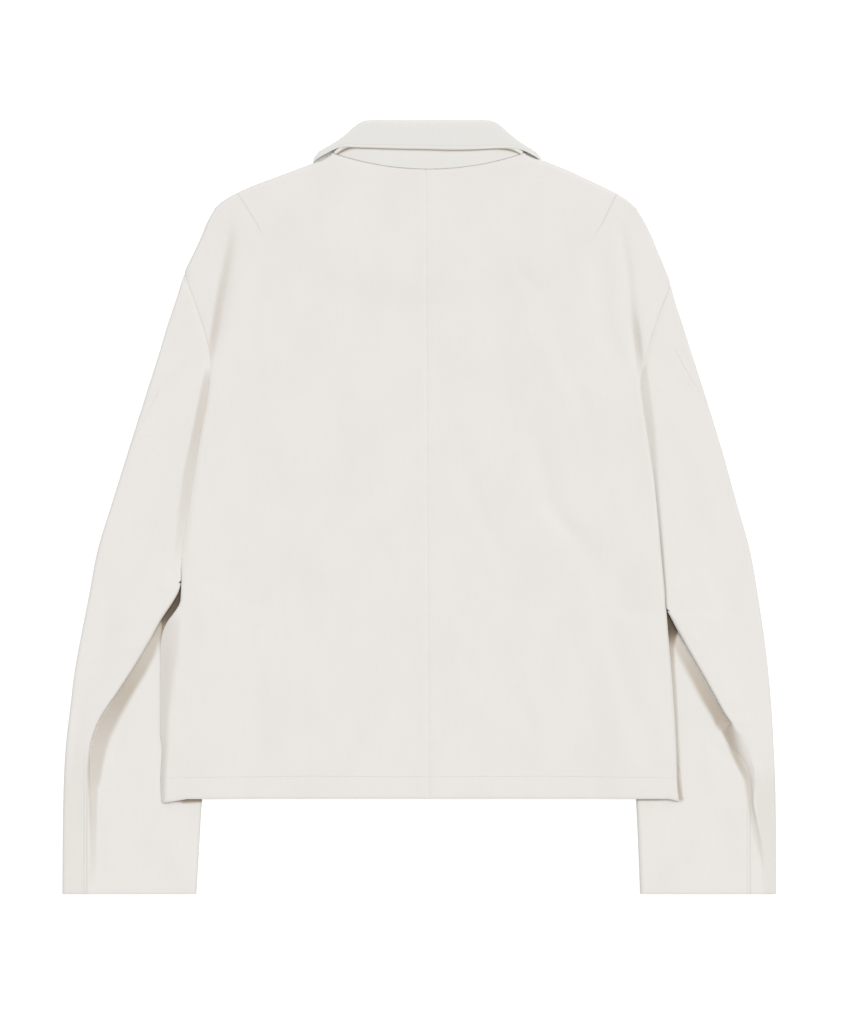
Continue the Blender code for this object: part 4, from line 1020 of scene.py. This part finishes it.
def sleeve_keys(side, step):
    """Board y of the sleeve's rows; down to the underarm they are the back's rows too."""
    upper = [y for y in spread(BACK_EDGE[side], step)
             if CAP_Y[side] + 1.0 < y < UNDERARM_Y[side] - 0.01]
    lower = spread(ELBOW_FOLD[side], step)
    cuff_y = lower[-1]
    below_hem = [HEM_Y + down for down in (-0.6, 0.4, 1.4, 2.6, 4.0, 5.6)]
    lower = [y for y in lower if y < cuff_y - 3.0 and not -2.0 < y - HEM_Y < 7.0]
    cuff = [cuff_y - up for up in (1.8, 1.0, 0.4, 0.0)]
    return sorted(upper + lower + below_hem + cuff)


def sleeve_relief(section, row, settings):
    """Creases of a sleeve's upper face, calm at its outer edge, its cap and its armhole."""
    creases = crease_height("sleeve_" + section.side, row) + ripple(row)
    calm = held((row[:, 2] - section.roll) / max(section.roll, 0.1))
    if not section.has_fold:
        from_armhole = section.end - section.inward(row[:, 0])
        calm *= held(from_armhole / ARMHOLE_CALM)
    below_cap = step_from(section.y, CAP_Y[section.side], CAP_CALM)
    return creases * calm * below_cap * settings.crease_depth


def topsleeve_row(section, settings):
    """A row of the topsleeve with its creases."""
    row = section.place(section.top_points())
    row[:, 2] += sleeve_relief(section, row, settings)
    return row


def crease_forearm(section, lower, inward, depth):
    """Dent the forearm past the fold's tuck, and less beneath the body."""
    first = section.RIDGE_POINTS + section.SLOPE_POINTS + section.TUCK_POINTS
    forearm, reach = lower[first:], inward[first:]
    shown = held((section.lower_end - reach) / INNER_CALM)
    past_tuck = held((reach - inward[first - 1]) / TUCK_CALM)
    least, start_y, length = UNDER_BODY
    past_body = least + (1.0 - least) * step_from(section.y, start_y, length)
    dent = crease_height("forearm_" + section.side, forearm) + ripple(forearm)
    forearm[:, 2] += dent * shown * past_tuck * depth * past_body


def undersleeve_row(section, settings):
    """A row of the undersleeve with its creases, its seams' grooves and its painted crease shade."""
    side = section.side
    points = section.under_points()
    split = len(points)
    if section.has_fold:
        points += section.fold_points()
    row = section.place(points)
    upper, lower = row[:split], row[split:]
    painted_shades = np.concatenate((painted_crease_shade("sleeve_" + side, upper),
                            painted_crease_shade("forearm_" + side, lower)))
    widest, fade = RIDGE_PAINTED_SHADE
    painted_shades[split:split + section.RIDGE_POINTS] *= smooth((widest - section.turn) / fade)
    upper[:, 2] += sleeve_relief(section, upper, settings)
    if section.y < ELBOW_SEAM[side][-1][0] + SEAM_WRAP:
        pucker = 1.0 + 0.5 * math.sin(section.y * 0.9)
        groove = along(ELBOW_SEAM[side], section.y, 2) * pucker
        upper[:, 2] -= groove * bell(upper[:, 0] - upper[0, 0], ELBOW_GROOVE)
    if section.has_fold:
        inward = np.array([point[0] for point in points[split:]])
        crease_forearm(section, lower, inward, settings.crease_depth)
    from_seam = row[:, 0] - along(CUFF_SEAM[side], section.y)
    strength = step_from(section.y, CUFF_SEAM[side][0][0], CUFF_SEAM_FADE)
    on_top = row[:, 2] > section.roll + 1.0
    depth, half_width = CUFF_SEAM_GROOVE
    row[:, 2] -= depth * strength * bell(from_seam, half_width) * on_top
    depth, reach = CUFF_ROUND
    row[:, 2] -= depth * max(0.0, 1.0 - (ELBOW_FOLD[side][-1][0] - section.y) / reach) ** 2
    lines = [(distance, strength) for distance in from_seam]
    return row, lines, painted_shades


def sleeve_sheets(side, settings):
    """The topsleeve and the undersleeve of one side."""
    sections = [SleeveSection(side, y) for y in sleeve_keys(side, settings.row_step)]
    top_rows = [topsleeve_row(section, settings) for section in sections]
    first_y = ELBOW_SEAM[side][0][0]
    first = max(index for index, section in enumerate(sections) if section.y <= first_y)
    under_rows = []
    lines = []
    painted_shades = []
    for section in sections[first:]:
        row, row_lines, row_painted_shades = undersleeve_row(section, settings)
        under_rows.append(row)
        lines += row_lines
        painted_shades += row_painted_shades.tolist()
    mirror = side == "right"
    top = build_sheet(f"topsleeve_{side}_cloth", top_rows, mirror, settings.thickness,
                      grain=grain_by_length(top_rows))
    under = build_sheet(f"undersleeve_{side}_cloth", under_rows, mirror, settings.thickness,
                        lines=lines, painted_shades=painted_shades, grain=grain_by_length(under_rows))
    return top, under


def blend(start, finish, share):
    """A point on the way from one point to another."""
    return tuple(low + (high - low) * share for low, high in zip(start, finish))


def collar_station(values, half):
    """One section of the collar, drafted on the left half, and its painted shadow below the fall."""
    wider, roll_inner, edge_drop, edge_rise, fall_swell = COLLAR_HALVES[half]
    neck_dx, neck_y, roll_dx, roll_y, edge_dx, edge_y, lie, middle, spacing, droop = values
    neck = (COLLAR_X - neck_dx, neck_y)
    roll = (COLLAR_X - roll_dx + roll_inner * step_from(roll_dx, *ROLL_IN_FROM), roll_y)
    edge_y += edge_drop * math.sin(math.pi * min(edge_dx / EDGE_LOW_SPAN, 1.0))
    edge_y -= edge_rise * math.exp(-((edge_dx - EDGE_HIGH_AT[0]) / EDGE_HIGH_AT[1]) ** 2)
    edge = (COLLAR_X - edge_dx - wider * step_from(edge_dx, *FALL_OUT_FROM), edge_y)
    length = math.dist(neck, roll)
    away = ((roll[0] - neck[0]) / length, (roll[1] - neck[1]) / length)
    outward = (away[1], -away[0]) if away[1] <= 0.0 else (-away[1], away[0])
    lie = math.radians(min(max(lie, -90.0), 90.0))
    side_step = spacing * math.cos(lie)
    rise = spacing * math.sin(lie)

    def near_roll(turn):
        """A point on the round roll, turn radians from the stand's face to the fall's."""
        back = spacing * (1.0 - math.sin(turn))
        shift = -math.cos(turn)
        return (roll[0] - away[0] * back + outward[0] * side_step * shift,
                roll[1] - away[1] * back + outward[1] * side_step * shift,
                middle + rise * shift)

    upward = math.sin(lie)
    on_back = smooth(upward / 0.4)
    back_height = BODY_TOP + NECK_CROWN * neck_field(*neck) - NECK_SINK - SEAM_STEP / 2
    seam_height = middle - rise
    seam_height += (back_height - seam_height) * on_back
    seam_y = neck[1] + (back_neck_y(neck[0]) - SEAM_OPEN - neck[1]) * on_back
    start = (neck[0], seam_y, seam_height)
    stand_end = near_roll(0.0)
    under_edge = (neck[1] - edge[1]) / (neck[1] - stand_end[1]) if on_back else 0.5
    under_edge = min(max(under_edge, 0.12), 0.5)
    shares = [under_edge * part for part in (0.0, 0.08, 0.2, 0.4, 0.6, 0.74, 0.84, 0.91, 0.96)]
    shares += [under_edge, under_edge + 0.02, under_edge + 0.05]
    shares += [under_edge + (1.0 - under_edge) * step / 6 for step in range(2, 6)]
    depth, place, width = FALL_SHADE
    width += SHOULDER_SHADE[half] * step_from(edge_dx, *SHADE_GROWS_FROM)
    points = []
    shades = []
    for share in shares:
        x, y, height = blend(start, stand_end, share)
        crown = STAND_CROWN * max(upward, 0.0) * math.sin(math.pi * share)
        points.append((x, y, height + crown))
        # painted shadow on the stand just below the fall's edge, wider at the shoulder
        below = (y - edge[1] - place) / width
        shades.append(depth * on_back * math.exp(-below * below))
    points += [near_roll(math.pi * step / 12) for step in range(13)]
    base = points[-1]
    finish = (edge[0], edge[1], middle + rise - droop)
    fall_length = math.dist(base, finish)
    near_edge = [5.0, 3.9, 3.3, 2.9, 2.5, 2.1, 1.5, 0.8, 0.35, 0.0]
    plain = [near_edge[0] + (fall_length - near_edge[0]) * (8 - step) / 9 for step in range(8)]
    for reach in plain + near_edge:
        share = 1.0 - reach / fall_length
        x, y, height = blend(base, finish, share)
        swell = fall_swell * math.cos(lie) * math.sin(math.pi * share ** 3)
        x += outward[0] * swell
        y += outward[1] * swell
        groove = FALL_STITCH[0] * math.exp(-((reach - FALL_STITCH[1]) / FALL_STITCH[2]) ** 2)
        soften = FALL_ROUND[0] * max(0.0, 1.0 - reach / FALL_ROUND[1]) ** 2
        points.append((x, y, height - upward * (groove + soften)))
    shades += [0.0] * (len(points) - len(shades))
    return points, shades


def collar_sheet(settings):
    """The collar, from its right front end round the back to its left."""
    table = [(float(index), *values) for index, values in enumerate(COLLAR)]
    keys = [index / 8 for index in range((len(table) - 1) * 8 + 1)]
    values = [[along(table, key, column) for column in range(1, 11)] for key in keys]
    left = [collar_station(row, "left") for row in values]
    right = [collar_station(row, "right") for row in values[1:]]
    rows = [[(2 * COLLAR_X - x, y, height) for x, y, height in points]
            for points, shades in right[::-1]] + [points for points, shades in left]
    painted_shades = [shade for points, shades in right[::-1] + left for shade in shades]
    middle = len(rows[0]) // 2
    around = running_length([row[middle] for row in rows])
    grain = [(across, down) for across, row in zip(around, rows) for down in running_length(row)]
    return build_sheet("collar_cloth", rows, False, settings.collar_thickness, painted_shades=painted_shades,
                       grain=grain)


# Node trees ------------------------------------------------------------------------------

def set_inputs(tree, node, inputs):
    """Set a node's inputs, by name or number, to values, or link them to sockets."""
    for label, value in inputs.items():
        if isinstance(value, bpy.types.NodeSocket):
            tree.links.new(value, node.inputs[label])
        else:
            node.inputs[label].default_value = value


def add_node(tree, kind, inputs=None, **options):
    """A new node with its options and inputs."""
    node = tree.nodes.new(kind)
    for name, value in options.items():
        setattr(node, name, value)
    set_inputs(tree, node, inputs or {})
    return node


def math_node(tree, operation, *values):
    """The result of a Math node on numbers or sockets."""
    return add_node(tree, "ShaderNodeMath", dict(enumerate(values)), operation=operation).outputs[0]


def node_group(name, inputs, outputs, kind="ShaderNodeTree"):
    """A new node group with these named sockets: its tree, its inputs and its output node."""
    tree = bpy.data.node_groups.new(name, kind)
    for direction, sockets in (("INPUT", inputs), ("OUTPUT", outputs)):
        for label, sort in sockets:
            tree.interface.new_socket(label, in_out=direction, socket_type="NodeSocket" + sort)
    return tree, tree.nodes.new("NodeGroupInput").outputs, tree.nodes.new("NodeGroupOutput")


def streaks(tree, coordinates, across, down, detail):
    """Noise drawn out along the cloth, from -0.5 to 0.5; the scales are turns per metre."""
    stretch = add_node(tree, "ShaderNodeMapping",
                       {"Vector": coordinates, "Scale": (across, down, 1.0)})
    noise = add_node(tree, "ShaderNodeTexNoise",
                     {"Vector": stretch.outputs["Vector"], "Scale": 1.0, "Detail": detail})
    return math_node(tree, "SUBTRACT", noise.outputs["Fac"], 0.5)


def weave_group():
    """Twill weave from cloth coordinates: a height and an uneven tone."""
    tree, inside, result = node_group(
        "Cotton twill", (("Cloth", "Vector"), ("Pitch", "Float"), ("Slub", "Float")),
        (("Height", "Float"), ("Tone", "Float")))
    cloth = inside["Cloth"]
    split = add_node(tree, "ShaderNodeSeparateXYZ", {0: cloth}).outputs
    turns = math_node(tree, "DIVIDE", 2.0 * math.pi, inside["Pitch"])
    diagonal = math_node(tree, "ADD", split["X"], split["Y"])
    rib = math_node(tree, "SINE", math_node(tree, "MULTIPLY", diagonal, turns))
    weft_turns = math_node(tree, "MULTIPLY", turns, 1.6)
    weft = math_node(tree, "SINE", math_node(tree, "MULTIPLY", split["Y"], weft_turns))
    ribs = math_node(tree, "MULTIPLY_ADD", weft, 0.35, rib)
    warp_streak = streaks(tree, cloth, 520.0, 34.0, 2.0)
    weft_streak = streaks(tree, cloth, 40.0, 460.0, 2.0)
    cloud = streaks(tree, cloth, 24.0, 15.0, 3.0)
    fuzz = streaks(tree, cloth, 900.0, 900.0, 1.0)
    slubs = math_node(tree, "MULTIPLY_ADD", weft_streak, 0.6, warp_streak)
    slubs = math_node(tree, "MULTIPLY", slubs, inside["Slub"])
    height = math_node(tree, "MULTIPLY_ADD", slubs, 2.0, math_node(tree, "MULTIPLY", ribs, 0.3))
    height = math_node(tree, "MULTIPLY_ADD", fuzz, 0.8, height)
    tone = math_node(tree, "MULTIPLY_ADD", cloud, 0.055, math_node(tree, "MULTIPLY", slubs, 0.028))
    tone = math_node(tree, "MULTIPLY_ADD", fuzz, 0.015, tone)
    set_inputs(tree, result, {"Height": height, "Tone": math_node(tree, "ADD", tone, 1.0)})


def line_group():
    """A pressed seam line and a fainter one beside it: their groove and their shade."""
    tree, inside, result = node_group(
        "Pressed line", [(label, "Float") for label in (
            "Distance", "Strength", "Width", "Beside", "Beside Share")],
        (("Groove", "Float"), ("Shade", "Float")))

    def line_at(distance):
        """A bell curve across a line."""
        scaled = math_node(tree, "DIVIDE", distance, inside["Width"])
        square = math_node(tree, "MULTIPLY", scaled, scaled)
        return math_node(tree, "EXPONENT", math_node(tree, "MULTIPLY", square, -1.0))

    second = line_at(math_node(tree, "SUBTRACT", inside["Distance"], inside["Beside"]))
    second = math_node(tree, "MULTIPLY", second, inside["Beside Share"])
    both = math_node(tree, "MAXIMUM", line_at(inside["Distance"]), second)
    mask = math_node(tree, "MULTIPLY", both, inside["Strength"])
    shade = math_node(tree, "MULTIPLY_ADD", mask, -0.13, 1.0)
    set_inputs(tree, result, {"Groove": mask, "Shade": shade})


def painted_shade_group():
    """The colour that a crease's painted shade multiplies the cloth by."""
    tree, inside, result = node_group("Painted crease shade", (("Depth", "Float"),), (("Tint", "Color"),))
    ramp = add_node(tree, "ShaderNodeValToRGB", {"Fac": inside["Depth"]})
    stops = ((0.0, (1.0, 1.0, 1.0)), (0.3, (0.80, 0.77, 0.73)), (0.6, (0.55, 0.48, 0.40)),
             (1.0, (0.12, 0.09, 0.06)))
    elements = ramp.color_ramp.elements
    while len(elements) < len(stops):
        elements.new(0.5)
    for element, (position, colour) in zip(elements, stops):
        element.position = position
        element.color = (*colour, 1.0)
    set_inputs(tree, result, {"Tint": ramp.outputs["Color"]})


def group_node(tree, name, inputs):
    """The outputs of a node that uses a shader group."""
    return add_node(tree, "ShaderNodeGroup", inputs, node_tree=bpy.data.node_groups[name]).outputs


def read_attribute(tree, name):
    """The value of one of the mesh's own attributes."""
    return add_node(tree, "ShaderNodeAttribute", attribute_name=name).outputs["Fac"]


def scaled_colour(tree, colour, factor):
    """A colour times a value."""
    return add_node(tree, "ShaderNodeVectorMath", {0: colour, "Scale": factor},
                    operation="SCALE").outputs["Vector"]


def new_material(name, looks):
    """The node tree and the shader of a new material; the shader's own sockets hold its looks."""
    material = bpy.data.materials.new(name)
    material.use_nodes = True
    tree = material.node_tree
    shader = tree.nodes["Principled BSDF"]
    set_inputs(tree, shader, looks)
    return tree, shader


def cloth_material(name, colour, settings, slub=1.0, beside_share=0.0):
    """Matt cotton twill in one colour, with the piece's pressed lines and painted crease shade."""
    tree, shader = new_material(name, {
        "Roughness": 0.9, "Specular IOR Level": 0.2, "Sheen Weight": 0.05, "Sheen Roughness": 0.6})
    cloth = add_node(tree, "ShaderNodeUVMap", uv_map="cloth")
    weave = group_node(tree, "Cotton twill", {
        "Cloth": cloth.outputs["UV"], "Pitch": settings.weave_pitch * MM, "Slub": slub})
    line = group_node(tree, "Pressed line", {
        "Distance": read_attribute(tree, "line_distance"),
        "Strength": read_attribute(tree, "line_strength"),
        "Width": settings.line_width * MM, "Beside": -CUFF_SEAM_PLIES * MM,
        "Beside Share": beside_share})
    # the shade painted into the creases multiplies the cloth's colour
    tone = group_node(tree, "Painted crease shade", {"Depth": read_attribute(tree, "painted_shade_depth")})
    level = math_node(tree, "MULTIPLY", weave["Tone"], line["Shade"])
    colour_with_painted_shade = add_node(tree, "ShaderNodeVectorMath", {
        0: scaled_colour(tree, colour, level), 1: tone["Tint"]}, operation="MULTIPLY")
    height = math_node(tree, "MULTIPLY_ADD", line["Groove"], -4.0, weave["Height"])
    bump = add_node(tree, "ShaderNodeBump", {
        "Strength": settings.weave_bump, "Distance": 0.0001, "Height": height})
    set_inputs(tree, shader, {
        "Base Color": colour_with_painted_shade.outputs["Vector"], "Normal": bump.outputs["Normal"]})


def thread_material(name, colour):
    """Twisted sewing thread."""
    tree, shader = new_material(name, {"Roughness": 0.6})
    place = add_node(tree, "ShaderNodeTexCoord")
    noise = add_node(tree, "ShaderNodeTexNoise", {
        "Vector": place.outputs["Object"], "Scale": 900.0})
    level = math_node(tree, "MULTIPLY_ADD", noise.outputs["Fac"], 0.2, 0.9)
    set_inputs(tree, shader, {"Base Color": scaled_colour(tree, colour, level)})


def stitch_tree():
    """Geometry Nodes: a stitch at every pitch along a path."""
    tree, inside, result = node_group(
        "Stitch run",
        (("Path", "Geometry"), ("Pitch", "Float"), ("Stitch Length", "Float"),
         ("Thread Width", "Float"), ("Thread", "Material")),
        (("Stitches", "Geometry"),), kind="GeometryNodeTree")
    curve = add_node(tree, "GeometryNodeMeshToCurve", {"Mesh": inside["Path"]})
    stations = add_node(tree, "GeometryNodeResampleCurve", {
        "Curve": curve.outputs["Curve"], "Length": inside["Pitch"]}, mode="LENGTH")
    ball = add_node(tree, "GeometryNodeMeshUVSphere", {"Segments": 6, "Rings": 5, "Radius": 0.5})
    size = add_node(tree, "ShaderNodeCombineXYZ", {
        "X": inside["Thread Width"], "Y": inside["Thread Width"], "Z": inside["Stitch Length"]})
    stitch = add_node(tree, "GeometryNodeTransform", {
        "Geometry": ball.outputs["Mesh"], "Scale": size.outputs["Vector"]})
    tangent = add_node(tree, "GeometryNodeInputTangent")
    align = add_node(tree, "FunctionNodeAlignRotationToVector", {
        "Vector": tangent.outputs["Tangent"]}, axis="Z")
    instances = add_node(tree, "GeometryNodeInstanceOnPoints", {
        "Points": stations.outputs["Curve"], "Instance": stitch.outputs["Geometry"],
        "Rotation": align.outputs["Rotation"]})
    realize = add_node(tree, "GeometryNodeRealizeInstances", {
        "Geometry": instances.outputs["Instances"]})
    paint = add_node(tree, "GeometryNodeSetMaterial", {
        "Geometry": realize.outputs["Geometry"], "Material": inside["Thread"]})
    set_inputs(tree, result, {"Stitches": paint.outputs["Geometry"]})


def sew(name, run, settings):
    """Stitches along a run of board points, as one plain mesh."""
    path = bpy.data.meshes.new(name + "_path")
    path.from_pydata(board_to_part(run).tolist(), [(index, index + 1)
                                                   for index in range(len(run) - 1)], [])
    stitches = add_object(name, path)
    tree = bpy.data.node_groups["Stitch run"]
    modifier = stitches.modifiers.new("Stitches", "NODES")
    modifier.node_group = tree
    values = {"Pitch": settings.pitch * MM, "Stitch Length": settings.length * MM,
              "Thread Width": settings.width * MM, "Thread": bpy.data.materials["Thread"]}
    for item in tree.interface.items_tree:
        if item.in_out == "INPUT" and item.name in values:
            modifier[item.identifier] = values[item.name]
    graph = bpy.context.evaluated_depsgraph_get()
    mesh = bpy.data.meshes.new_from_object(stitches.evaluated_get(graph))
    stitches.modifiers.clear()
    stitches.data = mesh
    bpy.data.meshes.remove(path)
    mesh.name = name
    mesh.shade_smooth()
    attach(stitches, BODY)


# Settings ----------------------------------------------------------------------------------

class JacketClothSettings(bpy.types.PropertyGroup):
    """Sizes and colours of the cloth."""
    thickness: bpy.props.FloatProperty(
        name="Cloth thickness", description="Thickness of one ply in millimetres", default=1.0,
        min=0.3, max=1.4)
    collar_thickness: bpy.props.FloatProperty(
        name="Collar thickness", description="Thickness of the collar's plies in millimetres",
        default=1.9, min=1.0, max=2.2)
    row_step: bpy.props.FloatProperty(
        name="Row step", description="Spacing of the shell's rows in millimetres", default=3.0,
        min=2.0, max=12.0)
    crease_depth: bpy.props.FloatProperty(
        name="Crease depth", description="Depth of the soft creases, 1 as drafted",
        default=1.0, min=0.0, max=2.0, subtype="FACTOR")
    weave_pitch: bpy.props.FloatProperty(
        name="Weave pitch", description="Spacing of the twill's ribs in millimetres",
        default=1.1, min=0.3, max=4.0)
    weave_bump: bpy.props.FloatProperty(
        name="Weave relief", description="Strength of the weave's relief", default=0.12,
        min=0.0, max=1.0, subtype="FACTOR")
    line_width: bpy.props.FloatProperty(
        name="Pressed line", description="Half width of a pressed seam line in millimetres",
        default=0.7, min=0.2, max=3.0)
    body_colour: bpy.props.FloatVectorProperty(
        name="Body colour", description="Colour of the backs and fronts", subtype="COLOR",
        default=(0.824, 0.8, 0.77), min=0.0, max=1.0)
    sleeve_colour: bpy.props.FloatVectorProperty(
        name="Sleeve colour", description="Colour of the sleeves", subtype="COLOR",
        default=(0.827, 0.803, 0.769), min=0.0, max=1.0)
    collar_colour: bpy.props.FloatVectorProperty(
        name="Collar colour", description="Colour of the collar", subtype="COLOR",
        default=(0.804, 0.796, 0.765), min=0.0, max=1.0)


class JacketSewingSettings(bpy.types.PropertyGroup):
    """Sizes and colour of the stitches."""
    pitch: bpy.props.FloatProperty(
        name="Stitch pitch", description="Spacing of the hem's stitches in millimetres",
        default=3.6, min=1.5, max=8.0)
    length: bpy.props.FloatProperty(
        name="Stitch length", description="Length of one stitch in millimetres", default=2.8,
        min=1.0, max=7.0)
    width: bpy.props.FloatProperty(
        name="Thread width", description="Width of the thread in millimetres", default=0.42,
        min=0.2, max=1.0)
    thread_colour: bpy.props.FloatVectorProperty(
        name="Thread colour", description="Colour of the sewing thread", subtype="COLOR",
        default=(0.72, 0.69, 0.64), min=0.0, max=1.0)


class JacketStageSettings(bpy.types.PropertyGroup):
    """Light, floor and camera."""
    sky: bpy.props.FloatProperty(
        name="Ambient light", description="Strength of the even light from all around",
        default=0.52, min=0.0, max=3.0)
    key: bpy.props.FloatProperty(
        name="Key light", description="Strength of the broad soft light above", default=1.6,
        min=0.0, max=20.0)
    key_size: bpy.props.FloatProperty(
        name="Key size", description="Angle across the broad light", default=math.radians(40.0),
        min=0.0, max=math.pi, subtype="ANGLE")
    key_lean: bpy.props.FloatProperty(
        name="Key lean", description="Angle of the key light from straight above",
        default=math.radians(18.0), min=0.0, max=1.5, subtype="ANGLE")
    camera_height: bpy.props.FloatProperty(
        name="Camera height", description="Height of the camera above the surface", default=5.0,
        min=1.0, max=20.0, unit="LENGTH")
    floor_glow: bpy.props.FloatProperty(
        name="Floor glow", description="How white the surface looks by itself", default=0.8,
        min=0.0, max=1.0, subtype="FACTOR")


# Operators ---------------------------------------------------------------------------------

def dress(piece, node, material):
    """Finish a cloth piece: give it its material, attach it to the body and hide its solid node."""
    piece.data.materials.append(bpy.data.materials[material])
    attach(piece, BODY)
    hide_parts(node)


class JACKET_OT_materials(bpy.types.Operator):
    """Make the cotton and thread materials and the stitches' node tree"""
    bl_idname = "jacket.materials"
    bl_label = "Materials"

    def execute(self, context):
        cloth = context.scene.jacket_cloth
        weave_group()
        line_group()
        painted_shade_group()
        stitch_tree()
        cloth_material("Body twill", cloth.body_colour, cloth)
        cloth_material("Sleeve twill", cloth.sleeve_colour, cloth, beside_share=0.6)
        cloth_material("Collar twill", cloth.collar_colour, cloth, slub=0.7)
        thread_material("Thread", context.scene.jacket_sewing.thread_colour)
        return {"FINISHED"}


class JACKET_OT_backs(bpy.types.Operator):
    """Make the two back panels and the hem's stitches"""
    bl_idname = "jacket.backs"
    bl_label = "Back panels"

    def execute(self, context):
        for side in ("left", "right"):
            sheet, rows, keys = back_sheet(side, context.scene.jacket_cloth)
            dress(sheet, "back_" + side, "Body twill")
            hem_row = rows[keys.index(HEM_STITCH_Y)]
            run = [(x, y, height + STITCH_LIFT) for x, y, height in hem_row[2:-1]]
            sew(f"hem_stitches_{side}", run, context.scene.jacket_sewing)
        return {"FINISHED"}


class JACKET_OT_fronts(bpy.types.Operator):
    """Make the two fronts beneath the back"""
    bl_idname = "jacket.fronts"
    bl_label = "Fronts"

    def execute(self, context):
        cloth = context.scene.jacket_cloth
        for side in ("left", "right"):
            sheet = front_sheet(side, cloth)
            dress(sheet, "front_" + side, "Body twill")
        return {"FINISHED"}


class JACKET_OT_sleeves(bpy.types.Operator):
    """Make the two-piece sleeves with their elbow folds"""
    bl_idname = "jacket.sleeves"
    bl_label = "Sleeves"

    def execute(self, context):
        cloth = context.scene.jacket_cloth
        for side in ("left", "right"):
            top, under = sleeve_sheets(side, cloth)
            dress(top, "topsleeve_" + side, "Sleeve twill")
            dress(under, "undersleeve_" + side, "Sleeve twill")
        return {"FINISHED"}


class JACKET_OT_collar(bpy.types.Operator):
    """Make the turned-down collar"""
    bl_idname = "jacket.collar"
    bl_label = "Collar"

    def execute(self, context):
        sheet = collar_sheet(context.scene.jacket_cloth)
        dress(sheet, "collar", "Collar twill")
        return {"FINISHED"}


def floor_material(name, glow):
    """A white surface that looks evenly lit and still takes faint shadows."""
    tree, shader = new_material(name, {
        "Roughness": 1.0, "Specular IOR Level": 0.0, "Emission Color": (1.0, 1.0, 1.0, 1.0)})
    seen = add_node(tree, "ShaderNodeLightPath").outputs["Is Camera Ray"]
    set_inputs(tree, shader, {
        "Emission Strength": math_node(tree, "MULTIPLY", seen, glow),
        "Base Color": math_node(tree, "MULTIPLY_ADD", seen, -0.5, 0.86)})


class JACKET_OT_stage(bpy.types.Operator):
    """Make the pale floor, the soft light and the camera"""
    bl_idname = "jacket.stage"
    bl_label = "Stage"

    def execute(self, context):
        stage = context.scene.jacket_stage
        scene = context.scene
        floor_mesh = bpy.data.meshes.new("floor")
        corners = ((-1, -1), (1, -1), (1, 1), (-1, 1))
        floor_mesh.from_pydata([(x * FLOOR_HALF, y * FLOOR_HALF, 0.0) for x, y in corners], [],
                               [(0, 1, 2, 3)])
        floor_material("Pale surface", stage.floor_glow)
        floor_mesh.materials.append(bpy.data.materials["Pale surface"])
        floor = add_object("floor", floor_mesh)
        floor.location.z = -FLOOR_GAP * MM
        world = bpy.data.worlds.new("Studio")
        world.use_nodes = True
        set_inputs(world.node_tree, world.node_tree.nodes["Background"],
                   {"Color": (1.0, 1.0, 1.0, 1.0), "Strength": stage.sky})
        scene.world = world
        light = bpy.data.lights.new("key", "SUN")
        light.energy = stage.key
        light.angle = stage.key_size
        light.color = (1.0, 0.995, 0.985)
        key = add_object("key", light)
        key.rotation_euler = (-stage.key_lean, stage.key_lean * 0.5, 0.0)
        lens = bpy.data.cameras.new("camera")
        lens.sensor_fit = "VERTICAL"
        lens.sensor_height = 24.0
        lens.lens = lens.sensor_height * stage.camera_height / (PHOTO_HEIGHT * MM)
        lens.clip_end = 50.0
        camera = add_object("camera", lens)
        camera.location = ((PHOTO_WIDTH / 2 - BOARD_X) * MM, (BOARD_Y - PHOTO_HEIGHT / 2) * MM,
                           stage.camera_height)
        scene.camera = camera
        scene.view_settings.view_transform = "Standard"
        return {"FINISHED"}


class JACKET_PT_tools(bpy.types.Panel):
    """The jacket's settings and steps in the sidebar"""
    bl_idname = "JACKET_PT_tools"
    bl_label = "Jacket"
    bl_space_type = "VIEW_3D"
    bl_region_type = "UI"
    bl_category = "Jacket"

    def draw(self, context):
        for settings in (context.scene.jacket_cloth, context.scene.jacket_sewing,
                         context.scene.jacket_stage):
            for name in settings.bl_rna.properties.keys():
                if name not in ("rna_type", "name"):
                    self.layout.prop(settings, name)
        for step in STEPS:
            self.layout.operator(step.bl_idname)


SETTINGS = (JacketClothSettings, JacketSewingSettings, JacketStageSettings)
STEPS = (JACKET_OT_materials, JACKET_OT_backs, JACKET_OT_fronts, JACKET_OT_sleeves,
         JACKET_OT_collar, JACKET_OT_stage)


def register():
    for cls in SETTINGS + STEPS + (JACKET_PT_tools,):
        bpy.utils.register_class(cls)
    bpy.types.Scene.jacket_cloth = bpy.props.PointerProperty(type=JacketClothSettings)
    bpy.types.Scene.jacket_sewing = bpy.props.PointerProperty(type=JacketSewingSettings)
    bpy.types.Scene.jacket_stage = bpy.props.PointerProperty(type=JacketStageSettings)


def unregister():
    del bpy.types.Scene.jacket_stage
    del bpy.types.Scene.jacket_sewing
    del bpy.types.Scene.jacket_cloth
    for cls in reversed(SETTINGS + STEPS + (JACKET_PT_tools,)):
        bpy.utils.unregister_class(cls)


def main():
    register()
    bpy.ops.jacket.materials()
    bpy.ops.jacket.backs()
    bpy.ops.jacket.fronts()
    bpy.ops.jacket.sleeves()
    bpy.ops.jacket.collar()
    bpy.ops.jacket.stage()


if __name__ == "__main__":
    main()
